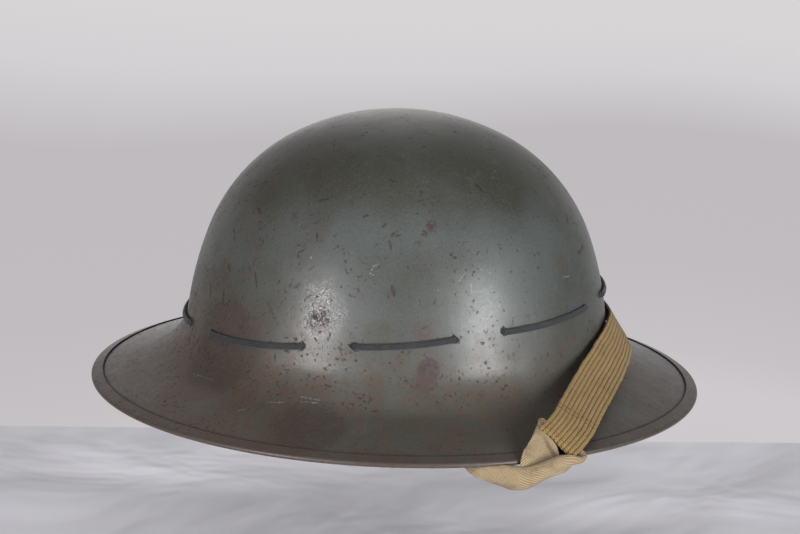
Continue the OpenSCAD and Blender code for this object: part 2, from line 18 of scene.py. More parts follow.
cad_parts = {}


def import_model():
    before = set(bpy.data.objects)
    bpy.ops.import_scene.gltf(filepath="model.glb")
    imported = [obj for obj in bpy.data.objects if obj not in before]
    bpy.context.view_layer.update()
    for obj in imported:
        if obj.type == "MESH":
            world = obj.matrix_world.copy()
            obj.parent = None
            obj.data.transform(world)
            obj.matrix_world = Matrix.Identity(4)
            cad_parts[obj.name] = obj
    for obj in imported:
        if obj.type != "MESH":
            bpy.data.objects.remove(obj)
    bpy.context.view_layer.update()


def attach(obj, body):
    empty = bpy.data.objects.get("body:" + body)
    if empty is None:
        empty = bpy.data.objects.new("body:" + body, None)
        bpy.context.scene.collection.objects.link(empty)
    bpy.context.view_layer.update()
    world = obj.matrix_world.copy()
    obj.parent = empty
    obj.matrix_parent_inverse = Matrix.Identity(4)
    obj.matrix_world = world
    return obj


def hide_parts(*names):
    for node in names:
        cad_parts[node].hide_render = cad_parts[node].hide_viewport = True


log = logging.getLogger("helmet")

MM = 0.001
RIM_Z = 11.4
HELMET = "helmet"
STRAP = "chin_strap"
Number = Union[int, float]
Piece = bpy.types.Object


class Side(Enum):
    """The wearer's side that a piece is on; the value is the sign of Y."""

    RIGHT = -1
    LEFT = 1

    @property
    def word(self) -> str:
        """Word used in node and piece names."""
        return self.name.lower()


def maths(operation: str, swapped: bool = False) -> Callable[["Val", "Term"], "Val"]:
    """An operator of Val, which adds one Math node.

    Args:
        operation: The node's operation.
        swapped: Whether the other value comes first, as in 1 - mask.

    Returns:
        The operator.
    """
    def act(value: "Val", other: "Term" = 0.0) -> "Val":
        """Works on a value and another; the second is left out where the operation takes one."""
        first, second = (other, value) if swapped else (value, other)
        return value.book.node("ShaderNodeMath", {"operation": operation}, {0: first, 1: second})

    return act


@dataclass(eq=False)
class Val:
    """A node socket that can be used in sums like a number."""

    book: "Book"
    socket: Optional[bpy.types.NodeSocket]

    __add__, __radd__ = maths("ADD"), maths("ADD", True)
    __sub__, __rsub__ = maths("SUBTRACT"), maths("SUBTRACT", True)
    __mul__, __rmul__ = maths("MULTIPLY"), maths("MULTIPLY", True)
    __truediv__, __pow__ = maths("DIVIDE"), maths("POWER")
    most, least = maths("MAXIMUM"), maths("MINIMUM")
    fraction, size = maths("FRACT"), maths("ABSOLUTE")
    sine, cosine = maths("SINE"), maths("COSINE")


Term = Union[Val, Number]
Shade = Union[Val, Sequence[float]]


def most(values: Iterable[Val]) -> Val:
    """The largest of several values."""
    return reduce(Val.most, values)


def linear(*screen: float) -> tuple[float, ...]:
    """The linear colour that a shader takes, with its alpha, from screen values of 0 to 255."""
    return *(v / 255 / 12.92 if v / 255 <= 0.04045 else ((v / 255 + 0.055) / 1.055) ** 2.4 for v in screen), 1.0


class Book:
    """Writes the nodes of one tree."""

    def __init__(self, tree: bpy.types.NodeTree) -> None:
        """Starts on an empty tree."""
        self.tree = tree
        tree.nodes.clear()

    def node(self, kind: str, settings: Optional[dict] = None, inputs: Optional[dict] = None,
             out: Union[int, str] = 0) -> Val:
        """Adds a node.

        Args:
            kind: The node's type.
            settings: Its own settings, set before its sockets; "stops" fills a colour ramp.
            inputs: Values or links by socket name or number.
            out: Output socket's name or number.

        Returns:
            The chosen output.
        """
        made = self.tree.nodes.new(kind)
        for key, value in (settings or {}).items():
            if key == "stops":
                self._stops(made.color_ramp, value)
            else:
                setattr(made, key, value)
        for key, value in (inputs or {}).items():
            if isinstance(value, Val):
                self.tree.links.new(value.socket, made.inputs[key])
            elif value is not None:
                made.inputs[key].default_value = value
        outputs = made.outputs
        return Val(self, outputs[out]) if len(outputs) else Val(self, None)

    @staticmethod
    def _stops(ramp: bpy.types.ColorRamp, stops: Sequence) -> None:
        """Fills a colour ramp.

        Args:
            ramp: The ramp.
            stops: Pairs of position and colour in screen values.
        """
        while len(ramp.elements) > 1:
            ramp.elements.remove(ramp.elements[-1])
        for i, (place, colour) in enumerate(stops):
            element = ramp.elements[0] if i == 0 else ramp.elements.new(place)
            element.position = place
            element.color = linear(*colour)

    def split(self, vector: Val) -> tuple[Val, Val, Val]:
        """The three parts of a vector."""
        parts = self.node("ShaderNodeSeparateXYZ", None, {0: vector}).socket.node.outputs
        return Val(self, parts[0]), Val(self, parts[1]), Val(self, parts[2])

    def join(self, x: Term, y: Term, z: Term = 0.0) -> Val:
        """A vector from three values."""
        return self.node("ShaderNodeCombineXYZ", None, {0: x, 1: y, 2: z})

    def rise(self, value: Term, low: float, high: float, to_low: float = 0.0, to_high: float = 1.0) -> Val:
        """Smooth step between two limits.

        Args:
            value: What is read.
            low: Value at which it starts.
            high: Value at which it ends.
            to_low: Result before the start.
            to_high: Result after the end.

        Returns:
            The step.
        """
        if low > high:
            low, high, to_low, to_high = high, low, to_high, to_low
        return self.node("ShaderNodeMapRange", {"interpolation_type": "SMOOTHSTEP"},
                         {"Value": value, "From Min": low, "From Max": high,
                          "To Min": to_low, "To Max": to_high})

    def blend(self, share: Term, below: Shade, above: Shade) -> Val:
        """Mixes two colours, each a node's value, three screen values of 0 to 255, or a linear colour with alpha."""
        low, high = (linear(*c) if isinstance(c, tuple) and len(c) == 3 else c for c in (below, above))
        return self.node("ShaderNodeMix", {"data_type": "RGBA"}, {0: share, 6: low, 7: high}, 2)


class Paint(Book):
    """Writes one material. Positions and UV are in millimetres."""

    def __init__(self, name: str) -> None:
        """Makes the material and its empty tree.

        Args:
            name: The material's name.
        """
        self.material = bpy.data.materials.new(name)
        self.material.use_nodes = True
        self.colour: Shade = (0.0, 0.0, 0.0, 1.0)
        super().__init__(self.material.node_tree)

    def place(self) -> Val:
        """Object coordinates in millimetres over the brim's lower edge.

        Returns:
            The position.
        """
        there = self.node("ShaderNodeTexCoord", out="Object")
        big = self.node("ShaderNodeVectorMath", {"operation": "SCALE"}, {0: there, "Scale": 1 / MM})
        return self.node("ShaderNodeVectorMath", {"operation": "SUBTRACT"}, {0: big, 1: (0, 0, RIM_Z)})

    def uv(self) -> tuple[Val, Val]:
        """The two UV values."""
        there = self.node("ShaderNodeTexCoord", out="UV")
        return self.split(there)[0], self.split(there)[1]

    def cloud(self, where: Val, period: float, detail: float = 3.0, rough: float = 0.55,
              warp: float = 0.0) -> Val:
        """Soft noise.

        Args:
            where: Position.
            period: Size of its patches in millimetres.
            detail: Finer layers.
            rough: Share of the finer layers.
            warp: Distortion.

        Returns:
            The noise, about 0.5 in the middle.
        """
        return self.node("ShaderNodeTexNoise", {"noise_dimensions": "3D"},
                         {"Vector": where, "Scale": 1 / period, "Detail": detail,
                          "Roughness": rough, "Distortion": warp})

    def cells(self, where: Val, period: float, jitter: float = 1.0) -> Val:
        """Distance to scattered points, from 0 at a point."""
        return self.node("ShaderNodeTexVoronoi", {"feature": "F1"},
                         {"Vector": where, "Scale": 1 / period, "Randomness": jitter}, "Distance")

    def start(self, share: Term, below: Shade, above: Shade) -> None:
        """Begins the base colour with a mixture of two."""
        self.colour = self.blend(share, below, above)

    def over(self, share: Term, above: Shade) -> None:
        """Lays a share of a colour over the base colour."""
        self.colour = self.blend(share, self.colour, above)

    def reach(self, where: Val, point: Sequence[float]) -> Val:
        """Distance from a point."""
        return self.node("ShaderNodeVectorMath", {"operation": "DISTANCE"}, {0: where, 1: tuple(point)}, "Value")

    def stroke(self, where: Val, start: Sequence[float], end: Sequence[float]) -> Val:
        """Distance from a straight stroke.

        Args:
            where: Position.
            start: First end in millimetres.
            end: Second end in millimetres.

        Returns:
            The distance in millimetres.
        """
        a, b = np.array(start, float), np.array(end, float)
        along = (b - a) / ((b - a) @ (b - a))
        rel = self.node("ShaderNodeVectorMath", {"operation": "SUBTRACT"}, {0: where, 1: tuple(a)})
        share = self.node("ShaderNodeVectorMath", {"operation": "DOT_PRODUCT"}, {0: rel, 1: tuple(along)}, "Value")
        share = share.most(0.0).least(1.0)
        foot = self.node("ShaderNodeVectorMath", {"operation": "SCALE"}, {0: tuple(b - a), "Scale": share})
        return self.node("ShaderNodeVectorMath", {"operation": "DISTANCE"}, {0: rel, 1: foot}, "Value")

    def bump(self, height: Val, depth: float, before: Optional[Val] = None) -> Val:
        """Bump in millimetres."""
        return self.node("ShaderNodeBump", None, {"Height": height, "Distance": depth * MM, "Normal": before},
                         "Normal")

    def finish(self, rough: Term, normal: Optional[Val] = None, metal: Term = 0.0,
               **fixed: float) -> bpy.types.Material:
        """Ends the tree in a Principled shader.

        Args:
            rough: Roughness.
            normal: Normal.
            metal: Metallic.
            fixed: Constant sockets by name, with underscores for spaces.

        Returns:
            The material.
        """
        inputs = {"Base Color": self.colour, "Roughness": rough, "Normal": normal, "Metallic": metal}
        inputs.update({key.replace("_", " "): value for key, value in fixed.items()})
        shader = self.node("ShaderNodeBsdfPrincipled", None, inputs)
        self.node("ShaderNodeOutputMaterial", None, {"Surface": shader})
        return self.material


# ---- outline and routes, as in the part's source


def unit(v: np.ndarray) -> np.ndarray:
    """Vector of length 1, or one for each row."""
    return v / np.linalg.norm(v, axis=-1, keepdims=True)


def smooth(points: np.ndarray, steps: int) -> np.ndarray:
    """Runs a smooth curve through stations.

    Args:
        points: One station a row.
        steps: Parts between two stations.

    Returns:
        The denser stations.
    """
    v = np.asarray(points, float)
    before, after = np.vstack([v[:1], v[:-1]]), np.vstack([v[1:], v[-1:]])
    after2 = np.vstack([v[2:], v[-1:], v[-1:]])
    rows = []
    for j in range(steps):
        f = j / steps
        rows.append(0.5 * (2 * v + (after - before) * f + (2 * before - 5 * v + 4 * after - after2) * f * f
                           + (3 * v - before - 3 * after + after2) * f ** 3))
    dense = np.stack(rows, 1)[:-1].reshape(-1, v.shape[1])
    return np.vstack([dense, v[-1:]])


@dataclass(frozen=True)
class Arc:
    """One arc of the outline, from its start point and slope to its end slope."""

    start: tuple[float, float]
    slope: float
    radius: float
    end_slope: float

    def at(self, share: float) -> np.ndarray:
        """Point at a share of the arc."""
        return self.at_slope(self.slope + (self.end_slope - self.slope) * share)

    def at_slope(self, slope: float) -> np.ndarray:
        """Point where the arc has a slope.

        Args:
            slope: The slope in degrees.

        Returns:
            Its radius and height.
        """
        sense = 1 if self.end_slope > self.slope else -1
        a, b = radians(self.slope), radians(slope)
        centre = np.array(self.start) - sense * self.radius * np.array([sin(a), cos(a)])
        return centre + sense * self.radius * np.array([sin(b), cos(b)])


@dataclass(frozen=True)
class Form:
    """Sizes of the helmet, and the places that follow from them."""

    reach: float = 155.0
    oval: float = 0.94
    wall: float = 1.2
    strip_w: float = 7.0
    strip_t: float = 0.6
    fit: float = 0.1
    lace_d: float = 2.8
    hole_d: float = 3.5
    tape_w: float = 19.0
    tape_t: float = 0.9
    cradle_h: float = 103.0
    cradle_flat: float = 34.0
    head_a: float = 92.5
    head_b: float = 79.5
    cloth_t: float = 0.7
    felt_t: float = 2.0
    band_h: float = 32.0
    brim_slope: float = 20.0
    tie_h: float = 22.0
    crease: tuple = ((64.4, 12.2), (66.8, 7.7), (70.3, 2.9))

    @property
    def nose_r(self) -> float:
        """Radius of the strip's folded nose."""
        return self.wall / 2 + self.fit + self.strip_t

    @property
    def band_t(self) -> float:
        """Thickness of the folded headband with its felt."""
        return 2 * self.cloth_t + self.felt_t + 2 * self.fit

    @property
    def pocket(self) -> float:
        """Half width at which the tie tape's end lies inside the headband."""
        return self.head_b / self.head_a * (self.head_a + self.cloth_t + self.fit) + 0.2

    def arcs(self) -> list[Arc]:
        """The arcs of the outline from the top outwards.

        Returns:
            The arcs, with heights from the crown's top.
        """
        rows = [(117.5, 27.5), (89.0, 69.6), (177.0, 83.3), (28.6, 24.0), (204.0, self.brim_slope)]
        made, start, slope = [], (0.0, 0.0), 0.0
        for radius, end in rows:
            made.append(Arc(start, slope, radius, end))
            start, slope = tuple(made[-1].at(1)), end
        return made

    def edge(self) -> np.ndarray:
        """End of the steel's upper face inside the strip.

        Returns:
            Its radius and height.
        """
        a = radians(self.brim_slope)
        u = self.nose_r - self.strip_t - 2 * self.fit
        return np.array([self.reach - self.nose_r + u * cos(a) + self.wall / 2 * sin(a),
                         self.nose_r - u * sin(a) + self.wall / 2 * cos(a)])

    def crown_h(self) -> float:
        """Height of the crown's top."""
        end, edge = self.arcs()[-1].at(1), self.edge()
        return edge[1] - end[1] + (edge[0] - end[0]) * tan(radians(self.brim_slope))

    def outline(self, pitch: float = 2.0) -> np.ndarray:
        """The steel's outer face.

        Args:
            pitch: Distance between its points.

        Returns:
            Rows of radius, height and slope.
        """
        rows, up = [], self.crown_h()
        for arc in self.arcs():
            n = max(2, round(radians(abs(arc.end_slope - arc.slope)) * arc.radius / pitch))
            for i in range(n):
                slope = arc.slope + (arc.end_slope - arc.slope) * i / n
                p = arc.at_slope(slope)
                rows.append((p[0], p[1] + up, slope))
        a, b = self.arcs()[-1].at(1) + (0, up), self.edge()
        n = round(np.linalg.norm(b - a) / pitch)
        rows += [(*(a + (b - a) * i / n), self.brim_slope) for i in range(n + 1)]
        return np.array(rows)

    def steel_z(self, radius: np.ndarray) -> np.ndarray:
        """Height of the steel's outer face at a radius.

        Args:
            radius: Half lengths.

        Returns:
            The heights.
        """
        rows = self.outline(1.0)
        rows = np.vstack([rows[:, :2], [self.reach + 10, self.edge()[1] - 4]])
        return np.interp(radius, rows[:, 0], rows[:, 1])


FORM = Form()
_SIDE = FORM.outline(1.0)


def wall_r(z: float) -> float:
    """Half length of the steel's outer face at a height."""
    return float(np.interp(-z, -_SIDE[:, 1], _SIDE[:, 0]))


def wall_point(angle: float, off: float, z: float) -> np.ndarray:
    """Point beside the steel at an angle in degrees, a distance outside its outer face and a height."""
    r, a = wall_r(z) + off, radians(angle)
    return np.array([r * cos(a), FORM.oval * r * sin(a), z])


class Holes:
    """The sixteen lace holes in eight pairs, and the lace's places beside them."""

    pairs = (22.5, 70.0, 110.0, 157.5, 202.5, 250.0, 290.0, 337.5)
    height = 45.6
    tilt = 5.5
    bow = 2.3
    gap = 26.0
    inside = -FORM.wall - 4.0
    outside = 1.15
    bend = 1.5
    sag = 0.7
    radius = wall_r(height)

    @classmethod
    def lace_z(cls, x: float) -> float:
        """Height of the lace at a length."""
        return cls.height + tan(radians(cls.tilt)) * x - cls.bow * (x / 100) ** 2

    @classmethod
    def point(cls, angle: float, off: float) -> np.ndarray:
        """Point on the lace's ring."""
        return wall_point(angle, off, cls.lace_z(cls.radius * cos(radians(angle))))

    @classmethod
    def per_mm(cls, pair: int) -> float:
        """Degrees for a millimetre along the ring."""
        a = radians(cls.pairs[pair])
        return 180 / pi / cls.radius / hypot(sin(a), FORM.oval * cos(a))

    @classmethod
    def angle(cls, pair: int, way: int) -> float:
        """Angle of a hole."""
        return cls.pairs[pair] + way * cls.gap / 2 * cls.per_mm(pair)

    @classmethod
    def at(cls, pair: int, way: int, along: float, off: float) -> np.ndarray:
        """Point beside a hole."""
        return cls.point(cls.angle(pair, way) + along * cls.per_mm(pair), off)

    @classmethod
    def loop(cls, pair: int) -> np.ndarray:
        """Middle of the tape's loop on the lace."""
        return cls.point(cls.pairs[pair], cls.inside)

    @classmethod
    def turn(cls, pair: int) -> float:
        """Direction of a loop from the middle, in radians."""
        c = cls.loop(pair)
        return atan2(c[1], c[0])

    @classmethod
    def along(cls, pair: int) -> np.ndarray:
        """Direction along the ring at a pair."""
        t = cls.turn(pair)
        return np.array([-sin(t), cos(t), 0.0])


# ---- meshes


def link(name: str, data: bpy.types.ID) -> Piece:
    """An object of some data, in the scene.

    Args:
        name: Its name.
        data: Its mesh, light or camera.

    Returns:
        The object.
    """
    made = bpy.data.objects.new(name, data)
    bpy.context.scene.collection.objects.link(made)
    return made


class Maker:
    """Makes meshes in the row frame from millimetres."""

    @staticmethod
    def mesh(name: str, points: np.ndarray, faces: Sequence[Sequence[int]],
             uv: Optional[np.ndarray] = None) -> Piece:
        """Makes a smooth object.

        Args:
            name: Its name.
            points: Corners in millimetres.
            faces: Corner numbers of each face.
            uv: UV for each face corner in the faces' order.

        Returns:
            The object, linked to the scene.
        """
        data = bpy.data.meshes.new(name)
        there = (np.asarray(points, float) + (0, 0, RIM_Z)) * MM
        data.from_pydata([tuple(p) for p in there], [], [tuple(f) for f in faces])
        if uv is not None:
            data.uv_layers.new(name="UVMap").data.foreach_set("uv", np.asarray(uv, np.float32).ravel())
        data.polygons.foreach_set("use_smooth", [True] * len(data.polygons))
        data.update()
        return link(name, data)

    @classmethod
    def skin(cls, name: str, rings: np.ndarray, uv: Optional[np.ndarray] = None,
             closed: bool = False) -> Piece:
        """Joins rings of points into a closed skin that faces outwards.

        Args:
            name: The object's name.
            rings: Points by ring, place in the ring and axis.
            uv: UV by ring and place, with one more place than the ring has.
            closed: Whether the last ring joins the first.

        Returns:
            The object.
        """
        n, m = rings.shape[:2]
        if uv is None:
            uv = cls.uv(np.arange(n), np.arange(m + 1))
        faces, coords = [], []
        for i in range(n if closed else n - 1):
            k = (i + 1) % n
            for j in range(m):
                l = (j + 1) % m
                faces.append((i * m + j, k * m + j, k * m + l, i * m + l))
                coords += [uv[i, j], uv[k, j], uv[k, j + 1], uv[i, j + 1]]
        if not closed:
            for i, order in ((0, range(m)), (n - 1, range(m - 1, -1, -1))):
                faces.append(tuple(i * m + j for j in order))
                coords += [uv[i, j] for j in order]
        return cls.outward(cls.mesh(name, rings.reshape(-1, 3), faces, np.array(coords)))

    @staticmethod
    def uv(along: np.ndarray, around: np.ndarray) -> np.ndarray:
        """UV by ring and place, from the way along the rings and round each of them."""
        return np.stack(np.broadcast_arrays(along[:, None], np.atleast_2d(around)), -1).astype(float)

    @staticmethod
    def corners(made: Piece) -> np.ndarray:
        """Corners of a mesh in metres, one a row.

        Args:
            made: An object with a mesh.

        Returns:
            The corners.
        """
        co = np.empty(len(made.data.vertices) * 3)
        made.data.vertices.foreach_get("co", co)
        return co.reshape(-1, 3)

    @staticmethod
    def place(made: Piece, co: np.ndarray) -> None:
        """Puts a mesh's corners in their places."""
        made.data.vertices.foreach_set("co", co.ravel())
        made.data.update()

    @staticmethod
    def outward(made: Piece) -> Piece:
        """Turns the faces outwards if the mesh is inside out.

        Args:
            made: A closed mesh.

        Returns:
            The same object.
        """
        data, v = made.data, Maker.corners(made)
        data.calc_loop_triangles()
        t = np.empty(len(data.loop_triangles) * 3, int)
        data.loop_triangles.foreach_get("vertices", t)
        a, b, c = v[t.reshape(-1, 3)].transpose(1, 0, 2)
        if np.einsum("ij,ij->i", a, np.cross(b, c)).sum() < 0:
            data.flip_normals()
        return made

    @staticmethod
    def join(name: str, parts: Sequence[Piece]) -> Piece:
        """Joins objects into one.

        Args:
            name: Name of the result.
            parts: Objects with applied places.

        Returns:
            The joined object.
        """
        for o in bpy.context.selected_objects:
            o.select_set(False)
        for o in parts:
            o.select_set(True)
        bpy.context.view_layer.objects.active = parts[0]
        if len(parts) > 1:
            bpy.ops.object.join()
        parts[0].name = name
        parts[0].data.name = name
        parts[0].select_set(False)
        return parts[0]


def headings(path: np.ndarray) -> np.ndarray:
    """Direction of a path at each of its points."""
    return unit(np.vstack([path[1:], path[-1:]]) - np.vstack([path[:1], path[:-1]]))


def carried(path: np.ndarray, first: Sequence[float]) -> np.ndarray:
    """Carries a direction along a path without twist.

    Args:
        path: The points.
        first: Direction at the start.

    Returns:
        Unit directions at right angles to the path.
    """
    t = headings(path)
    u = np.array(first, float)
    rows = []
    for i in range(len(path)):
        u = unit(u - (u @ t[i]) * t[i])
        rows.append(u)
    return np.array(rows)


def lengths(path: np.ndarray) -> np.ndarray:
    """Length of a path up to each of its points."""
    return np.concatenate([[0.0], np.cumsum(np.linalg.norm(np.diff(path, axis=0), axis=1))])


def round_rings(path: np.ndarray, radius: Union[float, np.ndarray], sides: int,
                first: Sequence[float] = (0, 0, 1)) -> tuple[np.ndarray, np.ndarray]:
    """Rings of a round cord.

    Args:
        path: The cord's middle line.
        radius: Its radius.
        sides: Points in a ring.
        first: Direction of the first point.

    Returns:
        The rings and their UV, both in millimetres.
    """
    u = carried(path, first)
    w = np.cross(headings(path), u)
    a = 2 * pi * np.arange(sides) / sides
    r = np.broadcast_to(np.asarray(radius, float), (len(path),))[:, None, None]
    rings = path[:, None] + r * (np.cos(a)[None, :, None] * u[:, None] + np.sin(a)[None, :, None] * w[:, None])
    return rings, Maker.uv(lengths(path), np.arange(sides + 1) / sides)


def wobble(points: np.ndarray, period: float, seed: float) -> np.ndarray:
    """Repeatable unevenness at points, from about -1 to 1, in patches of a size."""
    flat = points.reshape(-1, 3) / period + seed
    return np.array([noise.noise(Vector(p)) for p in flat]).reshape(points.shape[:-1])


class Trees:
    """Geometry trees for what repeats or follows a path."""

    @staticmethod
    def _start(name: str, inputs: Sequence[tuple[str, str, float]]) -> tuple[Book, Val, dict]:
        """Opens a tree with named inputs.

        Args:
            name: The tree's name.
            inputs: Name, kind and value of each size.

        Returns:
            The book, the geometry input and each size by name.
        """
        tree = bpy.data.node_groups.new(name, "GeometryNodeTree")
        face = tree.interface
        face.new_socket(name="Geometry", in_out="INPUT", socket_type="NodeSocketGeometry")
        for label, kind, value in inputs:
            socket = face.new_socket(name=label, in_out="INPUT", socket_type="NodeSocket" + kind)
            if kind in ("Float", "Int"):
                socket.default_value = value
        face.new_socket(name="Geometry", in_out="OUTPUT", socket_type="NodeSocketGeometry")
        book = Book(tree)
        source = book.node("NodeGroupInput").socket.node
        return book, Val(book, source.outputs["Geometry"]), {
            label: Val(book, source.outputs[label]) for label, _, _ in inputs}

    @staticmethod
    def _end(book: Book, geometry: Val, finish: Val) -> bpy.types.NodeTree:
        """Closes a tree with smooth shading, real instances and a material.

        Args:
            book: The tree's writer.
            geometry: What it has made.
            finish: The material input.

        Returns:
            The tree.
        """
        real = book.node("GeometryNodeRealizeInstances", None, {"Geometry": geometry})
        even = book.node("GeometryNodeSetShadeSmooth", None, {"Geometry": real, "Shade Smooth": True})
        dressed = book.node("GeometryNodeSetMaterial", None, {"Geometry": even, "Material": finish})
        book.node("NodeGroupOutput", None, {"Geometry": dressed})
        return book.tree

    @classmethod
    def lathe(cls) -> bpy.types.NodeTree:
        """Turns a closed profile round the upright axis into an oval body.

        Returns:
            The tree.
        """
        book, profile, size = cls._start("turned_oval", [
            ("Around", "Int", 360), ("Along", "Int", 200), ("Oval", "Float", 0.94), ("Open", "Float", 0.0),
            ("Finish", "Material", 0)])
        curve = book.node("GeometryNodeMeshToCurve", None, {"Mesh": profile})
        grid = book.node("GeometryNodeMeshGrid", None,
                         {"Size X": 1.0, "Size Y": 1.0, "Vertices X": size["Along"], "Vertices Y": size["Around"]})
        across, turn, _ = book.split(book.node("GeometryNodeInputPosition"))
        share = across + 0.5
        angle = turn * (2 * pi - 2 * size["Open"])
        there = book.node("GeometryNodeSampleCurve", {"mode": "FACTOR"}, {"Curves": curve, "Factor": share}, "Position")
        radius, _, height = book.split(there)
        moved = book.join(radius * angle.cosine(), radius * angle.sine() * size["Oval"], height)
        body = book.node("GeometryNodeSetPosition", None, {"Geometry": grid, "Position": moved})
        closed = book.node("GeometryNodeMergeByDistance", None, {"Geometry": body, "Distance": 1e-6})
        return cls._end(book, closed, size["Finish"])

    @classmethod
    def thread(cls) -> bpy.types.NodeTree:
        """Runs a thread of a given radius along each path.

        Returns:
            The tree.
        """
        book, path, size = cls._start("thread_along_path", [("Radius", "Float", 0.00035), ("Finish", "Material", 0)])
        curve = book.node("GeometryNodeMeshToCurve", None, {"Mesh": path})
        ring = book.node("GeometryNodeCurvePrimitiveCircle", {"mode": "RADIUS"},
                         {"Resolution": 6, "Radius": size["Radius"]})
        body = book.node("GeometryNodeCurveToMesh", None, {"Curve": curve, "Profile Curve": ring, "Fill Caps": True})
        return cls._end(book, body, size["Finish"])

    @classmethod
    def stitches(cls) -> bpy.types.NodeTree:
        """Lays short stitches end to end along each path.

        Returns:
            The tree.
        """
        book, path, size = cls._start("stitches_along_path", [
            ("Pitch", "Float", 0.003), ("Length", "Float", 0.0022), ("Radius", "Float", 0.00035),
            ("Finish", "Material", 0)])
        curve = book.node("GeometryNodeMeshToCurve", None, {"Mesh": path})
        even = book.node("GeometryNodeResampleCurve", {"mode": "LENGTH"}, {"Curve": curve, "Length": size["Pitch"]})
        seed = book.node("GeometryNodeMeshUVSphere", None, {"Segments": 8, "Rings": 6, "Radius": 1.0})
        scale = book.join(size["Radius"], size["Radius"], size["Length"] * 0.5)
        way = book.node("GeometryNodeInputTangent")
        turn = book.node("FunctionNodeAlignRotationToVector", {"axis": "Z"}, {"Vector": way}, "Rotation")
        laid = book.node("GeometryNodeInstanceOnPoints", None,
                         {"Points": even, "Instance": seed, "Rotation": turn, "Scale": scale})
        return cls._end(book, laid, size["Finish"])

    @staticmethod
    def run(tree: bpy.types.NodeTree, name: str, source: Piece, **sizes: object) -> Piece:
        """Runs a tree on an object and keeps the result as a plain mesh.

        Args:
            tree: The tree.
            name: Name of the result.
            source: Object that holds the profile or the paths; it is removed.
            sizes: Inputs by name.

        Returns:
            The new object.
        """
        modifier = source.modifiers.new("rule", "NODES")
        modifier.node_group = tree
        for item in tree.interface.items_tree:
            if item.in_out == "INPUT" and item.name in sizes:
                modifier[item.identifier] = sizes[item.name]
        graph = bpy.context.evaluated_depsgraph_get()
        source.update_tag()
        bpy.context.view_layer.update()
        data = bpy.data.meshes.new_from_object(source.evaluated_get(graph))
        source.modifiers.remove(modifier)
        data.name = name
        made, old = link(name, data), source.data
        bpy.data.objects.remove(source)
        bpy.data.meshes.remove(old)
        return made


def lines(name: str, paths: Sequence[np.ndarray]) -> Piece:
    """Makes an object of edges for a geometry tree.

    Args:
        name: Its name.
        paths: The polylines in millimetres.

    Returns:
        The object.
    """
    points, edges = [], []
    for path in paths:
        base = len(points)
        points += [(np.asarray(p, float) + (0, 0, RIM_Z)) * MM for p in path]
        edges += [(base + i, base + i + 1) for i in range(len(path) - 1)]
    data = bpy.data.meshes.new(name)
    data.from_pydata([tuple(p) for p in points], edges, [])
    return link(name, data)


# ---- finishes


class Tone(Enum):
    """What a mark on the paint shows."""

    LIGHT = "scratch"
    DARK = "nick"


